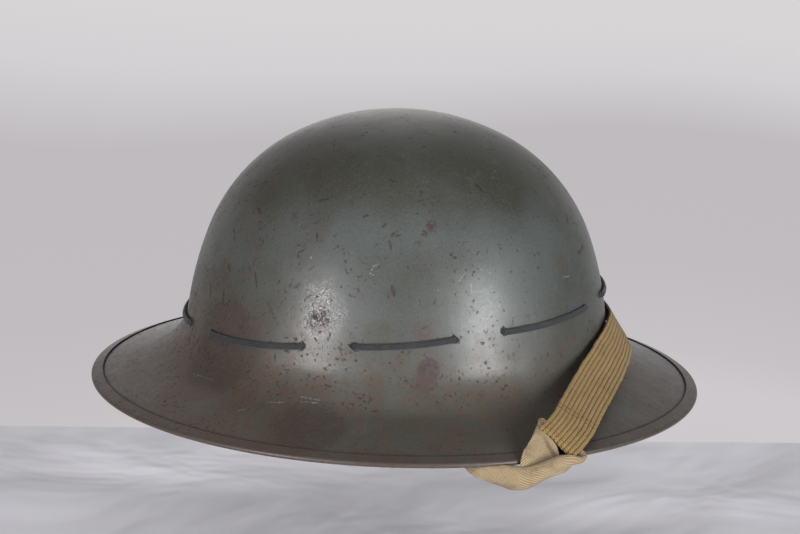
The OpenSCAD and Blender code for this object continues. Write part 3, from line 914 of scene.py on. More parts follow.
# strokes on the paint: their two ends and their width, first those of the photograph, then those of the far side
MARKS = {
    Tone.LIGHT: (
        (-13, -88.3, 81.7, -15.7, -88.6, 80, 0.25), (-15.7, -88.6, 80, -15.9, -89.1, 78.7, 0.25),
        (-16.8, -89.4, 77.3, -15.2, -90, 76.5, 0.22), (31, -87.4, 73.2, 31.4, -88.7, 69.1, 0.2),
        (31.4, -88.7, 68.9, 37.2, -86.6, 69.5, 0.2), (37.2, -86.6, 69.5, 41, -84, 72.3, 0.25),
        (40.8, -84.4, 71.7, 41.3, -85.1, 68.9, 0.2), (34.6, -84, 79.3, 40.5, -82.6, 76.9, 0.2),
        (28.3, -86.5, 78.2, 25.5, -88.6, 74.3, 0.15), (25.9, -87.9, 76.1, 24.5, -89.2, 73.5, 0.15),
        (73.7, -63.5, 67.2, 73.2, -64.8, 65.5, 0.3), (77, -58.9, 69.6, 80.9, -54.2, 69.4, 0.3),
        (-100.9, -57.9, 16.4, -95.2, -64.8, 16.9, 0.25), (-95.2, -64.8, 16.9, -90.6, -70.1, 17.1, 0.22),
        (-77.5, -98.2, 10.7, -73.8, -97.9, 11.6, 0.25), (-64, -96.6, 14.7, -55.4, -99.2, 15.7, 0.25),
        (-48, -98.7, 18.7, -39, -102.7, 18.2, 0.3), (-47.9, -101.1, 16.7, -39.9, -103.6, 17.2, 0.3),
        (47.7, -90.9, 30.6, 46.2, -91.6, 30.3, 0.3), (42, -48.1, 117.8, 43.7, -45.2, 118.7, 0.2),
        (40.4, -51.4, 116.5, 44, -48.7, 116.5, 0.2), (-20, 88.5, 78, -4, 90.5, 74, 0.3),
        (-88, 30, 74, -92, 27, 62, 0.3), (60, 108, 11, 72, 103, 11.6, 0.4), (-98, 75, 14, -91, 80, 14.4, 0.4)),
    Tone.DARK: (
        (9.3, -30.4, 133.7, 12.9, -32, 132.8, 0.6), (20.7, -17.4, 135.3, 21.4, -18.4, 135, 0.6),
        (33.3, -58, 114.8, 36.4, -59.7, 112, 0.5), (-8.3, -63.2, 116.7, -4.9, -64.1, 116.2, 0.5),
        (5.1, -72.1, 108.5, 7.4, -71.5, 108.9, 0.4), (-20.4, -75.9, 101.1, -19, -75.6, 102, 0.6),
        (-13.9, -49.6, 125.2, -13, -49.4, 125.4, 0.5), (-27.3, -47.7, 123.4, -25.9, -47.9, 123.7, 0.6),
        (39.3, -32.6, 126.2, 44.1, -27.8, 125.9, 0.5), (89.6, -31.9, 79.3, 86.9, -39.4, 77.5, 0.9),
        (80.3, -31.8, 95.8, 80.8, -36, 92.2, 0.8), (83.2, -23.1, 96.5, 84.3, -23, 94.9, 0.7),
        (-92.4, -37, 66, -91.7, -40.2, 63.3, 0.5), (-84.6, -48.7, 69.7, -84, -51.2, 66.8, 0.5),
        (-74.7, -29.7, 103.9, -67.3, -35.3, 108.3, 0.5), (-71.6, -35.6, 104, -68.2, -35.9, 107.2, 0.36),
        (-70.9, -46.1, 97.1, -69.8, -49.2, 95.6, 0.58), (-41.8, -63.7, 105.6, -37.6, -64.5, 107.1, 0.43),
        (-43.4, -21.3, 127.9, -41, -21.6, 128.8, 0.43), (-64.5, -30.6, 112.9, -59.6, -35.2, 114.5, 0.36),
        (-11.4, -80, 97.7, -10.2, -79.4, 98.8, 0.58), (-8.2, -84.1, 91.5, -7.5, -85.7, 88.7, 0.5),
        (-7.3, -82.8, 93.9, -6.2, -82.2, 95, 0.58), (-5, -82.9, 94, -3.3, -82.7, 94.4, 0.5),
        (-46.2, -80.5, 75.5, -43.4, -80.9, 77.8, 0.36), (-52.4, -80.2, 66.9, -50.3, -80.6, 69, 0.72),
        (-55, -78.5, 67.1, -54.1, -78.8, 68, 0.58), (-71.6, -64.5, 70, -70.4, -68.4, 63.1, 0.43),
        (-63.6, -76.5, 55, -62.6, -77.8, 53, 0.65), (-6.6, -92.5, 71.6, -5.4, -93.6, 68, 0.65),
        (-93.6, -39.7, 57.5, -93.6, -42.8, 51.3, 0.5), (-86.7, -51.7, 57.3, -87, -53.8, 50.8, 0.5),
        (-82.8, -40.3, 85.2, -82.2, -42.7, 83.8, 0.5), (40, 62, 108, 44, 64, 104, 0.5),
        (-60, 30, 114, -64, 28, 111, 0.5))}


@dataclass(frozen=True)
class Stain:
    """A place where the paint has another colour."""

    middle: tuple[float, ...]
    reach: float
    ragged: float
    colour: tuple[int, ...]
    share: float


STAINS = tuple(Stain(row[:3], row[3], row[4], row[5:8], row[8]) for row in (
    (12, -100.3, 33.5, 6, 7, 44, 27, 29, 1), (9.5, -100.3, 27, 6, 15, 56, 38, 32, 0.8),
    (10, -97.6, 51.5, 5, 12, 60, 43, 41, 0.75), (-13, -97.1, 50.2, 6.5, 15, 54, 50, 36, 0.6),
    (75.9, -56.4, 76.9, 4.5, 13, 66, 54, 46, 0.7), (-87, -62, 32, 24, 26, 46, 37, 32, 0.7),
    (-44, -118, 10, 18, 26, 50, 38, 34, 0.6), (-88, -46.8, 62, 7, 22, 54, 44, 36, 0.5),
    (-84.4, -58.3, 48.1, 11, 24, 57, 47, 39, 0.6), (-55.6, -93.5, 20.1, 3.5, 12, 66, 46, 34, 0.6),
    (-14.8, -101.7, 27.1, 4.5, 13, 66, 48, 34, 0.6), (-14.7, -106.3, 20.2, 3.5, 12, 64, 46, 34, 0.6),
    (60, 82, 50, 14, 20, 60, 48, 41, 0.5), (-70, 80, 28, 18, 24, 50, 40, 34, 0.5)))


@dataclass(frozen=True)
class SteelPaint:
    """Grey-green service paint: rubbed, soiled and rusting through in specks, and reddish along the strip's edge; with
    painted shade at the crown's top and along the strip's inner edge, and painted glints where the lamps' highlights
    fall.
    """

    name: str = "grey_green_paint"
    edge: bool = False
    grey: tuple = (62, 67, 65)
    olive: tuple = (46, 46, 38)
    brown: tuple = (57, 48, 39)
    rust: tuple = (72, 47, 37)
    dark: tuple = (27, 20, 17)
    bare: tuple = (132, 130, 127)
    chalk_and_glint: tuple = (128, 122, 121)
    nose: tuple = (90, 70, 66)
    seam: float = 148.3

    def make(self) -> bpy.types.Material:
        """Builds the material.

        Returns:
            The material.
        """
        k = Paint(self.name)
        p = k.place()
        x, y, z = k.split(p)
        across = y * (1 / FORM.oval)
        radius = (x * x + across * across) ** 0.5
        low = k.rise(z, 66, 24)
        back = k.rise(x, 0, -100)
        # top: painted shade, darker towards the crown's top
        top = k.rise(z, 86, 122)
        broad = k.cloud(p, 48, 2, 0.5, 0.3)
        mottle = k.cloud(p, 13, 7, 0.62, 0.2)
        grain = k.cloud(p, 1.7, 4, 0.66)
        fine = k.cloud(p, 0.9, 2, 0.6)
        # paint, its soiling and thin rust, all broken up by the grain of the steel; the paint turns darker olive
        # towards the crown's top, which is painted shade
        k.start(k.rise(broad * 0.8 + mottle * 0.2 + top * 0.34 + low * 0.1, 0.4, 0.82), self.grey, self.olive)
        soil = mottle * 0.6 + grain * 0.34 + broad * 0.06 + low * 0.075 + back * 0.07
        k.over(k.rise(soil, 0.555, 0.66) * 0.55, self.brown)
        worn_thin = k.cloud(k.join(x + 40, y, z), 5.5, 6, 0.68, 0.4) * 0.6 + grain * 0.4 + low * 0.075 + back * 0.04
        thin = k.rise(worn_thin, 0.59, 0.645)
        k.over(thin * 0.62, self.rust)
        greener = k.rise(k.cloud(k.join(x, y + 90, z), 12, 5, 0.66), 0.54, 0.68)
        k.over(greener * 0.4, (58, 64, 53))
        k.over(k.rise(fine, 0.45, 0.75) * 0.16, (96, 98, 96))
        k.over(k.rise(fine, 0.48, 0.25) * 0.3, (34, 33, 29))
        k.over(low * 0.3 + back * 0.12, (66, 52, 40))
        for stain in STAINS:
            near = k.reach(p, stain.middle) + (mottle + grain - 1.0) * stain.ragged
            mask = k.rise(near, stain.reach + 1.0, stain.reach - 1.6) * k.rise(grain, 0.36, 0.56, 0.45, 1.0)
            k.over(mask * stain.share, stain.colour)
        # flecks where the paint is pierced: many, small, and thick in the pitted place and the rust spots
        # the pitted place lies where the left lamp's highlight falls
        pitted_glint_area = k.rise(k.reach(k.join((x + 40.5) * 1.4, y + 90, z - 58), (0, 0, 0)) + (mottle - 0.5) * 34, 18, 5)
        core = k.rise(k.reach(p, (-41, -91, 54)) + (mottle - 0.5) * 16, 9, 2)
        second = k.rise(k.reach(p, (36, -88, 58)) + (mottle - 0.5) * 34, 17, 5)
        spots = (k.rise(k.reach(p, (11.5, -80.1, 98.4)) + (grain - 0.5) * 14, 3.4, 1.0)
                 .most(k.rise(k.reach(p, (8.3, -81.6, 95.6)) + (grain - 0.5) * 12, 2.2, 0.4))
                 .most(k.rise(k.reach(p, (5.7, -84.5, 91.2)) + (grain - 0.5) * 9, 2.0, 0.5) * 0.7)
                 .most(k.rise(k.reach(p, (-6.1, -92.9, 70.2)) + (grain - 0.5) * 9, 2.2, 0.6) * 0.6))
        small = k.cloud(k.join(x * 1.1, y, z * 0.95), 2.0, 2, 0.5)
        large = k.cloud(k.join(x, y + 37, z), 4.2, 4, 0.66)
        push = (pitted_glint_area * 0.07 + core * 0.09 + second * 0.03 + spots * 0.1 + low * 0.045 + back * 0.035
                - k.rise(radius, 112, 126) * 0.05)
        fleck = k.rise(small + push + (mottle - 0.52) * 0.4, 0.65, 0.725) * 0.9
        tiny = k.cloud(k.join(x, y + 11, z), 1.15, 3, 0.6) + pitted_glint_area * 0.035 + core * 0.07
        fleck = fleck.most(k.rise(tiny, 0.6, 0.68) * pitted_glint_area)
        fleck = fleck.most(k.rise(large + (grain - 0.5) * 0.2 + push * 0.6, 0.675, 0.745))
        # light flecks in the pitted place: partly chalky worn paint, partly painted glints of the left lamp's highlight
        salt = k.cloud(p, 1.05, 5, 0.75)
        chalk_and_glint_mask = pitted_glint_area * k.rise(salt, 0.45, 0.58) * 0.8
        k.over(chalk_and_glint_mask, self.chalk_and_glint)
        pits = core * k.rise(k.cloud(k.join(x, y + 5, z), 2.6, 4, 0.7), 0.45, 0.56)
        k.over(pits * 0.85, (62, 46, 40))
        # painted glints: light grey speckle where the right lamp's highlight falls
        k.over(second * k.rise(grain, 0.46, 0.62) * 0.4, (104, 104, 104))
        k.over(spots * k.rise(fine, 0.3, 0.5) * 0.95, (46, 30, 24))
        k.over(spots * k.rise(fine, 0.62, 0.7) * 0.5, (130, 98, 78))
        tint = k.blend(k.rise(k.cloud(p, 7, 2, 0.5) + low * 0.06, 0.5, 0.62), self.dark, (58, 36, 28))
        k.over(fleck * 0.75, tint)
        # single strokes, hairlines and light dots
        shaken = k.node("ShaderNodeVectorMath", {"operation": "ADD"}, {0: p, 1: k.join(
            (fine - 0.5) * 2.2, 0.0, (grain - 0.5) * 3.4)})
        tones = {tone: most(k.rise(k.stroke(shaken, row[:3], row[3:6]), row[6] * 1.9, row[6] * 0.4) for row in rows)
                 for tone, rows in MARKS.items()}
        worn = tones[Tone.LIGHT] * k.rise(fine, 0.44, 0.66, 0.1, 1.0) * 0.6
        dots = k.rise(k.cloud(k.join(x + 7, y, z + 3), 2.6, 1, 0.5) + spots * 0.04, 0.8, 0.83)
        worn = worn.most(dots * 0.4)
        k.over(worn, self.bare)
        k.over(tones[Tone.DARK] * k.rise(fine, 0.34, 0.5, 0.35, 1.0) * 0.8, (34, 23, 18))
        # brushed look of the brim, and dirt with painted shade along the strip's inner edge
        turn = k.node("ShaderNodeMath", {"operation": "ARCTAN2"}, {0: across, 1: x})
        streak = k.cloud(k.join(turn * 190, radius * 0.05, 0.0), 3.4, 4, 0.6)
        on_brim = k.rise(radius, 124, 136) * k.rise(x, 30, 95)
        k.over(k.rise(streak, 0.46, 0.64) * on_brim * 0.3, (36, 33, 30))
        k.over(k.rise(streak, 0.52, 0.36) * on_brim * 0.22, (76, 73, 69))
        if self.edge:
            k.over(k.rise(k.cloud(p, 7, 6, 0.7, 0.3), 0.44, 0.66) * 0.4 + 0.3, (58, 43, 38))
            nose = k.rise(z + (grain - 0.5) * 1.6, 1.0, 0.2) * k.rise(radius, 152.6, 153.6)
            k.over(nose * 0.7, self.nose)
            # painted shade on the strip's inner edge where it meets the shell, made rougher and without coat so that it
            # shows no reflection
            strip_lip_shade = k.rise(radius + (grain - 0.5) * 0.5, 149.7, 149.1) * k.rise(z, -2.0, 0.0)
            k.over(strip_lip_shade * 0.75, (34, 30, 27))
        else:
            # dirt and painted shade along the line where the strip's inner edge lies on the shell
            dirt = k.rise((radius - self.seam).size() + (grain - 0.5) * 0.8, 0.7, 0.15)
            k.over(dirt * 0.55, (32, 28, 25))
        rough = (0.5 + k.rise(soil, 0.5, 0.64) * 0.05 + thin * 0.06 + fleck * 0.3 + (fine - 0.5) * 0.2
                 - chalk_and_glint_mask * 0.16 + pits * 0.3)
        height = fine * 0.35 + grain * 0.35 + chalk_and_glint_mask * 0.7 - fleck * 1.1 - worn * 0.3 - tones[Tone.DARK] * 0.8
        skin = k.bump(height, 0.05, k.bump(k.cloud(p, 24, 2, 0.5), 0.7))
        coat = 0.2 - (fleck.most(pits) * 0.17)
        if self.edge:
            rough, coat = rough + strip_lip_shade * 0.4, coat * (1 - strip_lip_shade)
        return k.finish(rough, skin, Coat_Weight=coat, Coat_Roughness=0.25)


@dataclass(frozen=True)
class LaceFinish:
    """Round braided lace, painted over and grimy."""

    name: str = "painted_lace"
    light: tuple = (37, 40, 44)
    dark: tuple = (13, 14, 16)

    def make(self) -> bpy.types.Material:
        """Builds the material.

        Returns:
            The material.
        """
        k = Paint(self.name)
        u, v = k.uv()
        lean = v * 6
        a = ((u / 1.7 + lean) * 2 * pi).sine()
        b = ((u / 1.7 - lean) * 2 * pi).sine()
        braid = (a * b) * 0.5 + 0.5
        p = k.place()
        fuzz = k.cloud(p, 0.35, 3, 0.6)
        dirt = k.cloud(p, 9, 3, 0.6)
        k.start(k.rise(braid + (fuzz - 0.5) * 0.9, 0.25, 0.8), self.dark, self.light)
        k.over(k.rise(dirt, 0.45, 0.7) * 0.4, (50, 46, 42))
        return k.finish(0.85, k.bump(braid * 0.6 + fuzz * 0.5, 0.25), Sheen_Weight=0.1)


@dataclass(frozen=True)
class WovenTape:
    """Cotton tape with a fine twill, soiled, and darkened along the crease of its folds by dirt and painted shade."""

    name: str = "cotton_tape"
    light: tuple = (148, 131, 102)
    shade: tuple = (108, 89, 65)
    soil: tuple = (76, 57, 41)
    soiling: float = 0.45
    fold_y: float = 132.5

    def make(self) -> bpy.types.Material:
        """Builds the material.

        Returns:
            The material.
        """
        k = Paint(self.name)
        u, v = k.uv()
        p = k.place()
        twill = (((u + v * 0.8) / 1.15) * 2 * pi).sine() * 0.5 + 0.5
        weft = ((v / 0.42) * 2 * pi).sine() * 0.5 + 0.5
        fuzz = k.cloud(p, 0.5, 3, 0.6)
        slub = k.cloud(k.join(u * 0.15, v, 0.0), 1.2, 3, 0.6)
        dirt = k.cloud(p, 7, 4, 0.65, 0.4)
        weave = twill * 0.5 + weft * 0.12 + fuzz * 0.5
        k.start(k.rise(weave, 0.2, 0.9), self.shade, self.light)
        k.over(k.rise(slub, 0.35, 0.7) * 0.3, self.light)
        k.over(k.rise(dirt, 0.5, 0.72) * self.soiling, self.soil)
        x, y, z = k.split(p)
        low_y = k.join(x, y * 0.3, z)
        # dirt and painted shade along the crease of each fold
        for side in Side:
            at = side.value * self.fold_y * 0.3
            deep = most(k.rise(k.stroke(low_y, (a[0], at, a[1]), (b[0], at, b[1])) + (fuzz - 0.5), 1.5, 0.3)
                        for a, b in zip(FORM.crease, FORM.crease[1:]))
            k.over(deep * 0.6, (66, 44, 34))
        return k.finish(0.92, k.bump(weave, 0.26, k.bump(fuzz, 0.1)), Sheen_Weight=0.06)


@dataclass(frozen=True)
class ElasticWebbing:
    """Khaki elastic webbing: ten ribs with ladders of thread between them, and painted shade in the grooves and
    openings between the ribs.
    """

    name: str = "khaki_webbing"
    light: tuple = (140, 114, 68)
    mid: tuple = (90, 70, 37)
    dark: tuple = (30, 21, 11)
    pitch: float = 2.15

    def make(self) -> bpy.types.Material:
        """Builds the material.

        Returns:
            The material.
        """
        k = Paint(self.name)
        u, v = k.uv()
        p = k.place()
        across = (v / self.pitch).fraction() - 0.5
        rib = 1 - across.size() * 2
        lean = across.size() * 1.5
        knit = (((u + lean) / 0.95) * 2 * pi).sine() * 0.5 + 0.5
        fuzz = k.cloud(p, 0.42, 3, 0.6)
        ladder = ((u / 1.25 + (fuzz - 0.5) * 0.5) * 2 * pi).sine() * 0.5 + 0.5
        slub = k.cloud(k.join(u, v * 1.6, 0.0), 1.3, 3, 0.7)
        groove = k.rise(rib + (fuzz - 0.5) * 0.14 + (slub - 0.5) * 0.5, 0.27, 0.08)
        bars = k.rise(v + (fuzz - 0.5) * 3, 15, 8, 0.25, 0.75)
        gap_shade = groove * (1 - bars * k.rise(ladder, 0.4, 0.75))
        worn = k.cloud(k.join(u * 0.3, v * 1.2, 0.0), 9, 3, 0.6)
        k.start(k.rise(knit * 0.6 + fuzz * 0.3 + slub * 0.8, 0.4, 1.15), self.mid, self.light)
        k.over(k.rise(worn, 0.45, 0.7) * 0.3, (138, 113, 70))
        k.over(k.rise(k.cloud(p, 14, 3, 0.6), 0.5, 0.75) * 0.35, (86, 62, 32))
        # painted shade in the grooves between the ribs and in the openings of the ladders
        k.over(gap_shade * 0.95, self.dark)
        height = k.rise(rib, 0.0, 0.5) * 0.4 + knit * 0.34 + slub * 0.3 + fuzz * 0.25
        return k.finish(0.92, k.bump(height, 0.36), Sheen_Weight=0.04)


@dataclass(frozen=True)
class Felt:
    """Dense grey-brown felt."""

    name: str = "grey_felt"
    base: tuple = (112, 106, 96)
    fleck: tuple = (150, 142, 128)

    def make(self) -> bpy.types.Material:
        """Builds the material.

        Returns:
            The material.
        """
        k = Paint(self.name)
        p = k.place()
        fibre = k.cloud(p, 0.6, 6, 0.75, 2.2)
        clump = k.cloud(p, 4, 4, 0.6)
        k.start(k.rise(fibre, 0.35, 0.72), self.base, self.fleck)
        k.over(k.rise(clump, 0.5, 0.75) * 0.4, (86, 78, 70))
        return k.finish(0.96, k.bump(fibre * 0.6 + clump * 0.5, 0.35), Sheen_Weight=0.35)


@dataclass(frozen=True)
class Leathercloth:
    """Dark brown coated cloth with a fine grain, cracked and rubbed at its folds."""

    name: str = "brown_leathercloth"
    base: tuple = (60, 44, 33)
    rub: tuple = (112, 84, 60)

    def make(self) -> bpy.types.Material:
        """Builds the material.

        Returns:
            The material.
        """
        k = Paint(self.name)
        p = k.place()
        pebble = k.cells(p, 1.1, 0.9)
        crease = k.cloud(p, 6, 5, 0.7, 1.4)
        wear = k.cloud(p, 22, 4, 0.6)
        k.start(k.rise(crease, 0.4, 0.66) * 0.6, self.base, (42, 30, 23))
        k.over(k.rise(wear, 0.5, 0.74) * k.rise(pebble, 0.6, 0.2) * 0.7, self.rub)
        rough = 0.44 + k.rise(wear, 0.4, 0.7) * 0.25
        return k.finish(rough, k.bump(pebble * 0.5 + crease * 0.9, 0.22))


@dataclass(frozen=True)
class DullBrass:
    """Brass with a brown tarnish."""

    name: str = "dull_brass"
    clean: tuple = (176, 146, 92)
    stain: tuple = (88, 66, 42)

    def make(self) -> bpy.types.Material:
        """Builds the material.

        Returns:
            The material.
        """
        k = Paint(self.name)
        p = k.place()
        stain = k.cloud(p, 2.2, 5, 0.65, 0.5)
        k.start(k.rise(stain, 0.42, 0.64), self.clean, self.stain)
        return k.finish(0.34 + stain * 0.4, k.bump(stain, 0.05), 0.9)


@dataclass(frozen=True)
class Twine:
    """Plied thread or cord, with its twist along the UV."""

    name: str = "cotton_cord"
    light: tuple = (205, 194, 168)
    dark: tuple = (128, 112, 86)
    twist: float = 1.4

    def make(self) -> bpy.types.Material:
        """Builds the material.

        Returns:
            The material.
        """
        k = Paint(self.name)
        p = k.place()
        x, y, z = k.split(p)
        ply = (((x + y * 0.7 + z) / self.twist) * 2 * pi).sine() * 0.5 + 0.5
        fuzz = k.cloud(p, 0.4, 3, 0.6)
        k.start(k.rise(ply + (fuzz - 0.5) * 0.8, 0.15, 0.8), self.dark, self.light)
        return k.finish(0.9, k.bump(ply * 0.7 + fuzz * 0.3, 0.15), Sheen_Weight=0.2)


class Slot(Enum):
    """The record's material slots."""

    PAINT = "grey_paint"
    EDGE = "worn_edge_paint"
    LACE = "grey_lace"
    TAPE = "cotton_tape"
    FELT = "felt"
    CLOTH = "leathercloth"
    THREAD = "thread"
    BRASS = "brass"
    CORD = "white_cord"
    WEBBING = "elastic_webbing"


class Wardrobe:
    """Every finish, made once, and the calls that put a piece on its body."""

    def __init__(self) -> None:
        """Makes the materials."""
        self.finish = {
            slot: finish.make() for slot, finish in (
                (Slot.PAINT, SteelPaint()), (Slot.EDGE, SteelPaint("rubbed_edge_paint", True)),
                (Slot.LACE, LaceFinish()), (Slot.TAPE, WovenTape()), (Slot.FELT, Felt()),
                (Slot.CLOTH, Leathercloth()),
                (Slot.THREAD, Twine("linen_thread", (196, 184, 150), (120, 104, 76), 0.9)),
                (Slot.BRASS, DullBrass()), (Slot.CORD, Twine()), (Slot.WEBBING, ElasticWebbing()))}
        self.khaki_thread = Twine("khaki_thread", (112, 90, 54), (62, 46, 26), 0.9).make()

    def wear(self, piece: Piece, slot: Slot, body: str, *nodes: str) -> None:
        """Dresses a finished piece and puts it on its body.

        Args:
            piece: The piece.
            slot: Its finish.
            body: The body that it rides on.
            nodes: The solids that it stands for.
        """
        piece.data.materials.clear()
        piece.data.materials.append(self.finish[slot])
        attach(piece, body)
        if nodes:
            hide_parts(*nodes)
        log.info("%s: %d faces on %s for %s", piece.name, len(piece.data.polygons), body, ", ".join(nodes) or "itself")


# ---- sub-assemblies


@dataclass
class Steel:
    """The pressed shell and the strip folded over its edge."""

    wardrobe: Wardrobe
    lathe: bpy.types.NodeTree
    around: int = 320
    pitch: float = 1.9
    strip_pitch: float = 0.32
    dent: float = 0.12
    dent_period: float = 60.0
    even_r: float = 146.0
    hole_sides: int = 24
    row_rise: float = 0.096
    seam_gap: float = 0.25
    ragged: float = 0.3

    def build(self) -> None:
        """Builds both pieces."""
        self.shell()
        self.strip()

    def shell(self) -> None:
        """Turns the shell and cuts its lace holes."""
        rows = FORM.outline(self.pitch)
        slope = np.radians(rows[:, 2])
        outer = np.stack([rows[:, 0], np.zeros(len(rows)), rows[:, 1]], 1)
        inner = outer - FORM.wall * np.stack([np.sin(slope), np.zeros(len(rows)), np.cos(slope)], 1)
        profile = np.vstack([outer, inner[::-1]])
        profile[:, 0] = np.maximum(profile[:, 0], 0.0)
        total = lengths(profile)[-1]
        made = Trees.run(self.lathe, "steel_shell", lines("steel_profile", [profile]), Around=self.around + 1,
                         Along=round(total / self.pitch), Oval=FORM.oval, Open=0.0,
                         Finish=self.wardrobe.finish[Slot.PAINT])
        self.settle(made)
        Maker.outward(made)
        self.pierce(made)
        self.wardrobe.wear(made, Slot.PAINT, HELMET, "shell")

    def settle(self, made: Piece) -> None:
        """Gives the shell the slight unevenness of a pressing.

        Args:
            made: The shell.
        """
        co = Maker.corners(made)
        mm = co / MM - (0, 0, RIM_Z)
        radius = np.hypot(mm[:, 0], mm[:, 1] / FORM.oval)
        beside = np.abs(mm[:, 2] - Holes.height - self.row_rise * mm[:, 0])
        away = np.clip((self.even_r - radius) / 12, 0, 1) * np.clip(beside / 8 - 0.6, 0, 1)
        push = wobble(mm, self.dent_period, 3.1) * self.dent * away
        out = unit(np.stack([mm[:, 0], mm[:, 1], np.maximum(mm[:, 2] - 40, 0) * 0.9], 1) + 1e-9)
        co += out * push[:, None] * MM
        Maker.place(made, co)

    def pierce(self, made: Piece) -> None:
        """Cuts the sixteen holes.

        Args:
            made: The shell.
        """
        parts = []
        for pair in range(8):
            for way in (-1, 1):
                h = Holes.angle(pair, way)
                z = Holes.lace_z(Holes.radius * cos(radians(h)))
                path = np.array([wall_point(h, off, z) for off in (-5.0, 4.0)])
                parts.append(Maker.skin("hole", *round_rings(path, FORM.hole_d / 2, self.hole_sides)))
        cutter = Maker.join("holes", parts)
        cut = made.modifiers.new("holes", "BOOLEAN")
        cut.object, cut.operation, cut.solver = cutter, "DIFFERENCE", "EXACT"
        graph = bpy.context.evaluated_depsgraph_get()
        data = bpy.data.meshes.new_from_object(made.evaluated_get(graph))
        made.modifiers.remove(cut)
        made.data = data
        bpy.data.objects.remove(cutter)

    def strip(self) -> None:
        """Folds the strip round the edge, open for a hair's breadth at the back."""
        r, t, w = FORM.nose_r, FORM.strip_t, FORM.strip_w
        end = r - w
        nose = [(r * sin(a), r * cos(a)) for a in np.linspace(0, pi, 19)]
        slot_end = r - t - FORM.fit
        inner = r - t
        flange = np.linspace(end, 0, 8)
        local = ([(end, inner + 0.12), (end + 0.05, r - 0.12), (end + 0.2, r)] + [(u, r) for u in flange[1:-1]]
                 + nose + [(u, -r) for u in flange[::-1][1:-1]]
                 + [(end + 0.2, -r), (end + 0.05, -r + 0.12), (end, -inner - 0.12), (end + 0.1, -inner)]
                 + [(slot_end, -inner), (slot_end, inner), (end + 0.1, inner), (end, inner + 0.12)])
        a = -radians(FORM.brim_slope)
        turned = [(u * cos(a) - v * sin(a), u * sin(a) + v * cos(a)) for u, v in local]
        profile = np.array([(FORM.reach - r + u, 0.0, r + v) for u, v in turned])
        total = lengths(profile)[-1]
        made = Trees.run(self.lathe, "edge_strip_fold", lines("strip_profile", [profile]), Around=self.around + 1,
                         Along=round(total / self.strip_pitch), Oval=FORM.oval, Open=self.seam_gap / FORM.reach,
                         Finish=self.wardrobe.finish[Slot.EDGE])
        co = Maker.corners(made)
        mm = co / MM - (0, 0, RIM_Z)
        radius = np.hypot(mm[:, 0], mm[:, 1] / FORM.oval)
        share = np.clip((FORM.reach - 5.5 - radius) / 1.6, 0, 1)
        shift = wobble(mm * (1, 1, 0), 14.0, 7.7) * self.ragged * share
        co[:, :2] -= unit(mm[:, :2]) * shift[:, None] * MM
        Maker.place(made, co)
        Maker.outward(made)
        self.wardrobe.wear(made, Slot.EDGE, HELMET, "edge_strip")


